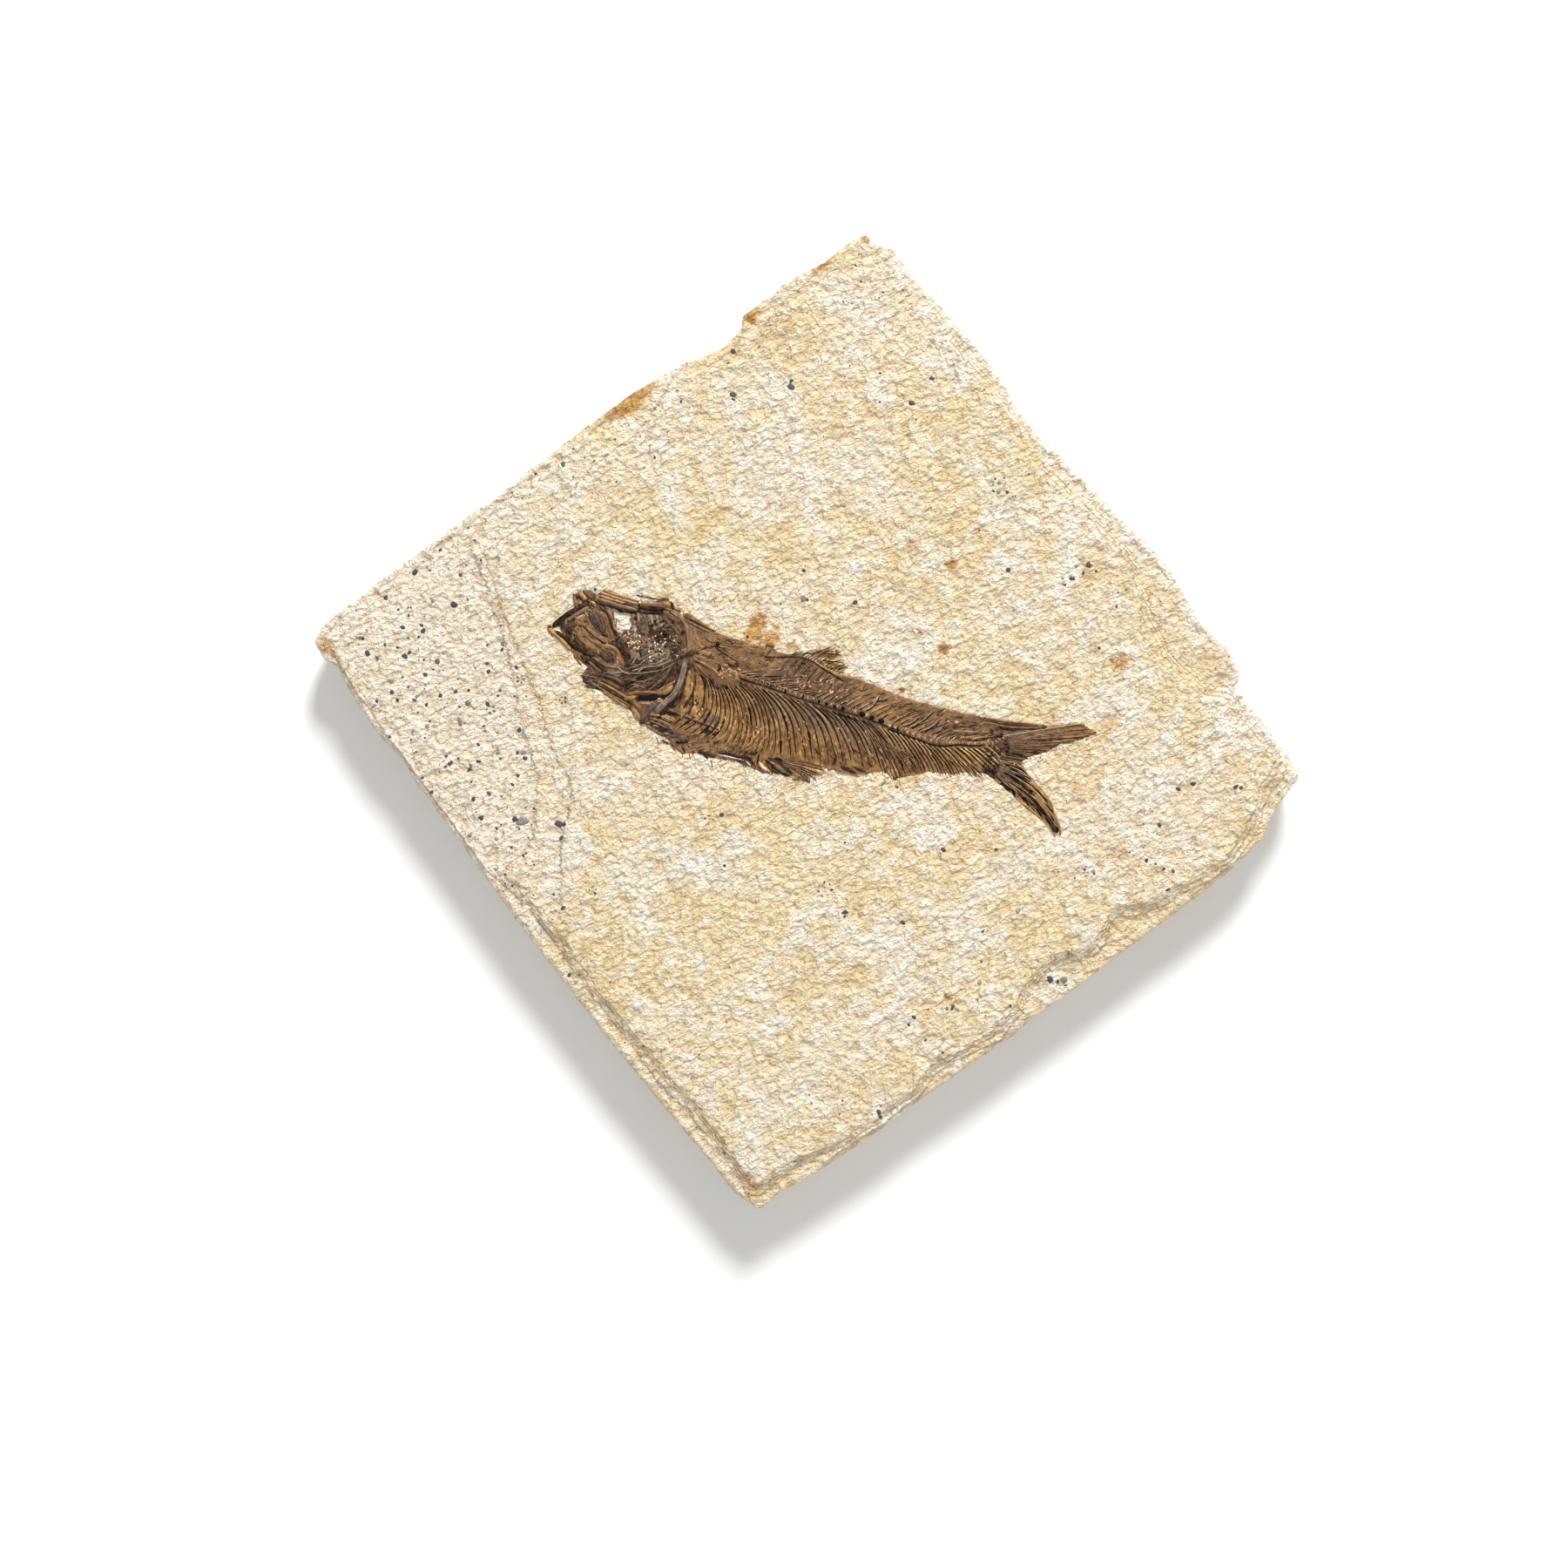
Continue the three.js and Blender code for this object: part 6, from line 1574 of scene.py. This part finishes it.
# The limestone's colours.
CREAM = (0.75, 0.635, 0.465)
YELLOW = (0.72, 0.59, 0.36)
STRAW = (0.69, 0.53, 0.28)
OLIVE = (0.66, 0.51, 0.29)
WHITE = (0.79, 0.745, 0.66)
CHALK = (0.76, 0.715, 0.62)
PALE = (0.78, 0.73, 0.65)
PINK = (0.77, 0.68, 0.57)
# Painted shade laid in the creases and hollows, and painted highlights laid on the crests and bump tops.
CREASE_SHADE = (0.52, 0.368, 0.18)
CREST_HIGHLIGHT = (0.84, 0.79, 0.67)
BUMP_HIGHLIGHT = (0.85, 0.80, 0.69)
# Painted shade at each bedding step.
LEDGE_SHADE = (0.40, 0.28, 0.15)
DARK_BED = (0.60, 0.46, 0.27)
PALE_BED = (0.84, 0.80, 0.7)
RUST = (0.27, 0.115, 0.02)
OCHRE = (0.52, 0.26, 0.04)
UMBER = (0.13, 0.06, 0.02)
# The heights where one bedding plane gives way to the next.
LEDGE_HEIGHTS = (7.87, 7.62, 7.38)


def limestone_material():
    n = Nodes("split_limestone")
    crease = n.attribute("crease")
    ochre, brown, pale = n.add("ShaderNodeSeparateXYZ", {0: n.attribute("blots", "Vector")}).outputs
    along = n.place((1, 0.66, 1))
    broad = n.noise(15, 3, 0.55)
    patch = n.noise(5.0, 5, 0.62, distort=0.6)
    mottle = n.noise(1.2, 3, 0.6, along, 0.7)
    grain = n.noise(0.5, 2, 0.6, along, 0.3)
    cells = {"Vector": n.warp(along, 1.1, 0.5), "Scale": 1 / 0.9, "Smoothness": 0.3}
    cell = n.add("ShaderNodeTexVoronoi", cells, feature="SMOOTH_F1").outputs["Distance"]
    colour = n.coat(CREAM, broad, 0.42, 0.58, 1, YELLOW)
    colour = n.coat(colour, n.noise(9, 4, 0.6, distort=0.4), 0.5, 0.64, 0.75, STRAW)
    colour = n.coat(colour, patch, 0.48, 0.66, 0.9, WHITE)
    colour = n.coat(colour, patch, 0.4, 0.22, 0.6, OLIVE)
    colour = n.coat(colour, n.noise(11, 3, 0.55, distort=0.5), 0.53, 0.68, 0.7, CHALK)
    paleness = n.times(pale, n.ramp(patch, 0.3, 0.6, 0.3, 1.0))
    colour = n.mix(n.times(paleness, 0.75), colour, PALE)
    corner = n.times(n.attribute("corner"), n.ramp(patch, 0.25, 0.6, 0.55, 1.0))
    colour = n.mix(n.times(corner, 0.85), colour, PINK)
    # Painted shade in the texture's creases and painted highlight on its crests, both following its height.
    colour = n.coat(colour, crease, -0.1, -0.9, 0.5, CREASE_SHADE)
    colour = n.coat(colour, crease, 0.1, 0.9, 0.4, CREST_HIGHLIGHT)
    # Painted highlight on the tops of the fine bumps, and painted shade in their hollows, between the cells
    # and in the fine grain: the same noises make the bump below.
    colour = n.coat(colour, mottle, 0.5, 0.7, 0.5, BUMP_HIGHLIGHT)
    colour = n.coat(colour, mottle, 0.47, 0.27, 0.6, CREASE_SHADE)
    colour = n.coat(colour, cell, 0.44, 0.74, 0.38, CREASE_SHADE)
    colour = n.coat(colour, grain, 0.46, 0.26, 0.45, CREASE_SHADE)
    # Painted shade: a thin dark line where one bedding plane ends and the next, lower one starts.
    plane = n.attribute("plane")
    line = 0.0
    for level in LEDGE_HEIGHTS:
        away = n.math("ABSOLUTE", n.math("SUBTRACT", plane, level))
        line = n.math("MAXIMUM", n.ramp(away, 0.09, 0.03), line)
    line = n.times(line, n.ramp(n.noise(4.0, 2, 0.5), 0.3, 0.6, 0.3, 0.85))
    colour = n.mix(line, colour, LEDGE_SHADE)
    # Thin beds, seen on the broken sides.
    side = n.ramp(plane, 6.4, 5.6)
    beds = n.noise(0.9, 3, 0.6, n.place((0.06, 0.06, 1)))
    colour = n.mix(n.times(side, n.ramp(beds, 0.5, 0.68, 0, 0.5)), colour, DARK_BED)
    colour = n.mix(n.times(side, n.ramp(beds, 0.46, 0.3, 0, 0.5)), colour, PALE_BED)
    # The stains, with ragged edges.
    wander = n.times(n.math("SUBTRACT", n.noise(0.7, 4, 0.7, distort=0.8), 0.5), 1.5)
    blot = n.ramp(n.math("ADD", ochre, n.times(wander, ochre)), 0.22, 0.75)
    rust = n.mix(n.ramp(mottle, 0.36, 0.56), RUST, OCHRE)
    colour = n.mix(n.times(blot, 0.85), colour, rust)
    spot = n.ramp(n.math("ADD", brown, n.times(wander, brown)), 0.3, 0.7)
    colour = n.mix(n.times(spot, 0.85), colour, UMBER)
    n.put(n.shader.inputs["Base Color"], colour)
    n.put(n.shader.inputs["Roughness"], n.ramp(grain, 0.3, 0.7, 0.98, 0.8))
    n.shader.inputs["Specular IOR Level"].default_value = 0.25
    height = n.math("SUBTRACT", mottle, n.times(n.times(cell, cell), 0.45))
    height = n.math("ADD", height, n.times(grain, 0.7))
    n.put(n.shader.inputs["Normal"], n.bump(height, 0.85, 1.0))
    return n.material


# Colours of the bone from dark to light, [place, red, green, blue]. The two ends come first.
BROWN_BONE = [[0, 0.006, 0.004, 0.003], [1, 0.86, 0.72, 0.46], [0.2, 0.07, 0.032, 0.0125],
              [0.42, 0.185, 0.095, 0.038], [0.62, 0.36, 0.208, 0.092], [0.8, 0.58, 0.39, 0.2]]
SLATE_BONE = [[0, 0.006, 0.005, 0.005], [1, 0.82, 0.79, 0.73], [0.2, 0.05, 0.031, 0.021],
              [0.42, 0.13, 0.087, 0.06], [0.62, 0.27, 0.205, 0.155], [0.8, 0.45, 0.39, 0.33]]
AMBER_BONE = [[0, 0.008, 0.004, 0.002], [1, 0.9, 0.72, 0.38], [0.2, 0.072, 0.031, 0.0085],
              [0.42, 0.2, 0.094, 0.027], [0.62, 0.4, 0.208, 0.064], [0.8, 0.62, 0.39, 0.15]]


def palette(n, value, stops):
    """A colour for each value, read from a table of stops."""
    ramp = n.add("ShaderNodeValToRGB", {"Fac": value})
    elements = ramp.color_ramp.elements
    for number, (place, *colour) in enumerate(stops):
        stop = elements[number] if number < 2 else elements.new(place)
        stop.position, stop.color = place, (*colour, 1)
    return ramp.outputs["Color"]


def bone_material():
    n = Nodes("fossil_bone")
    grain = n.attribute("grain", "Vector")
    tone, grey, gold = n.add("ShaderNodeSeparateXYZ", {0: n.attribute("tint", "Vector")}).outputs
    streak = n.noise(0.28, 3, 0.65, grain, 0.3)
    fibre = n.noise(0.11, 2, 0.6, grain)
    mottle = n.noise(0.65, 4, 0.65, distort=0.5)
    light = tone
    for texture, share in ((streak, 0.7), (fibre, 0.35), (n.noise(3.2, 3, 0.6), 0.4)):
        light = n.math("ADD", light, n.times(n.math("SUBTRACT", texture, 0.5), share))
    light = n.math("ADD", light, n.times(n.math("SUBTRACT", mottle, 0.5), 0.62), clamp=True)
    brown, slate, amber = (palette(n, light, stops) for stops in (BROWN_BONE, SLATE_BONE, AMBER_BONE))
    colour = n.mix(n.ramp(grey, 0.15, 1.0), brown, slate)
    colour = n.mix(n.ramp(gold, 0.1, 0.95), colour, amber)
    n.put(n.shader.inputs["Base Color"], colour)
    n.put(n.shader.inputs["Roughness"], n.ramp(mottle, 0.3, 0.7, 0.42, 0.62))
    n.put(n.shader.inputs["Specular IOR Level"], n.ramp(light, 0.0, 0.35, 0.08, 0.36))
    height = n.math("ADD", n.times(streak, 0.8), n.times(fibre, 0.3))
    n.put(n.shader.inputs["Normal"], n.bump(height, 0.2, 0.9))
    return n.material


def speck_material():
    n = Nodes("dark_mineral")
    dark = n.mix(n.noise(0.25, 3), (0.012, 0.014, 0.02), (0.075, 0.08, 0.09))
    soft = n.mix(n.noise(0.25, 3), (0.16, 0.15, 0.14), (0.36, 0.34, 0.31))
    n.put(n.shader.inputs["Base Color"], n.mix(n.ramp(n.attribute("kind"), 0.6, 0.95), dark, soft))
    n.shader.inputs["Roughness"].default_value = 0.6
    return n.material


def floor_material():
    n = Nodes("pale_floor")
    colour = n.mix(n.noise(60, 3), (0.88, 0.88, 0.87), (0.9, 0.9, 0.895))
    n.put(n.shader.inputs["Base Color"], colour)
    n.shader.inputs["Roughness"].default_value = 0.8
    return n.material


# ---------------------------------------------------------------- stage, lights and camera

# The camera looks straight down at AIM, turned by VIEW_ROLL, and sees VIEW_WIDTH at the face's height.
VIEW_ROLL = math.radians(52.4)
AIM = (5.0, -10.9)
VIEW_WIDTH = 240.0
LENS = 100.0
SENSOR = 36.0
# Metres: half the floor's side, and how far the floor lies below the slab.
FLOOR_HALF = 3.0
FLOOR_DROP = 0.0002
WORLD_STRENGTH = 0.42
# The lamps: name, direction along the view's right, up and out, distance and size in metres, watts.
LAMPS = [("key", 0.2, 1.0, 0.62, 2.6, 0.75, 104.0), ("fill", 0.25, -1.0, 0.9, 2.2, 1.2, 16.0)]


def view_direction(right, up, out):
    """A direction given along the view's right, up and towards the viewer."""
    c, s = math.cos(VIEW_ROLL), math.sin(VIEW_ROLL)
    return Vector((c * right - s * up, s * right + c * up, out))


def add_camera():
    data = bpy.data.cameras.new("camera")
    data.lens, data.sensor_width, data.sensor_fit = LENS, SENSOR, "AUTO"
    distance = VIEW_WIDTH * LENS / SENSOR
    camera = bpy.data.objects.new("camera", data)
    camera.location = Vector((AIM[0], AIM[1], FACE_TOP + distance)) * MM
    camera.rotation_euler = (0, 0, VIEW_ROLL)
    data.clip_start, data.clip_end = 0.01, 10
    bpy.context.scene.collection.objects.link(camera)
    bpy.context.scene.camera = camera


def add_light(name, right, up, out, distance, size, power):
    """A soft square lamp, aimed at the slab from a direction of the view."""
    data = bpy.data.lights.new(name, "AREA")
    data.shape, data.size, data.energy = "SQUARE", size, power
    lamp = bpy.data.objects.new(name, data)
    towards = view_direction(right, up, out).normalized()
    lamp.location = towards * distance
    lamp.rotation_euler = towards.to_track_quat("Z", "Y").to_euler()
    bpy.context.scene.collection.objects.link(lamp)


def add_stage():
    """The pale floor, an even sky, and two soft lamps."""
    mesh = bpy.data.meshes.new("floor")
    corners = [(-1, -1), (1, -1), (1, 1), (-1, 1)]
    mesh.from_pydata([(x * FLOOR_HALF, y * FLOOR_HALF, 0) for x, y in corners], [], [(0, 1, 2, 3)])
    mesh.materials.append(floor_material())
    floor = bpy.data.objects.new("floor", mesh)
    floor.location.z = -FLOOR_DROP
    bpy.context.scene.collection.objects.link(floor)
    world = bpy.data.worlds.new("studio")
    world.use_nodes = True
    background = world.node_tree.nodes["Background"]
    background.inputs[0].default_value = (1, 1, 1, 1)
    background.inputs[1].default_value = WORLD_STRENGTH
    bpy.context.scene.world = world
    bpy.context.scene.view_settings.view_transform = "Standard"
    for lamp in LAMPS:
        add_light(*lamp)


add_camera()
add_stage()
SLAB = make_slab(limestone_material())
make_specks(SLAB, speck_material())
BONE = bone_material()
HEAD = skull()
FINS = fins()
make_film(BONE, HEAD, FINS)
HEAD.piece("skull_and_shoulder", BONE)
ribs().piece("ribs", BONE)
backbone().piece("backbone", BONE)
FINS.piece("fin_rays", BONE)
debris().piece("bone_splinters", BONE)
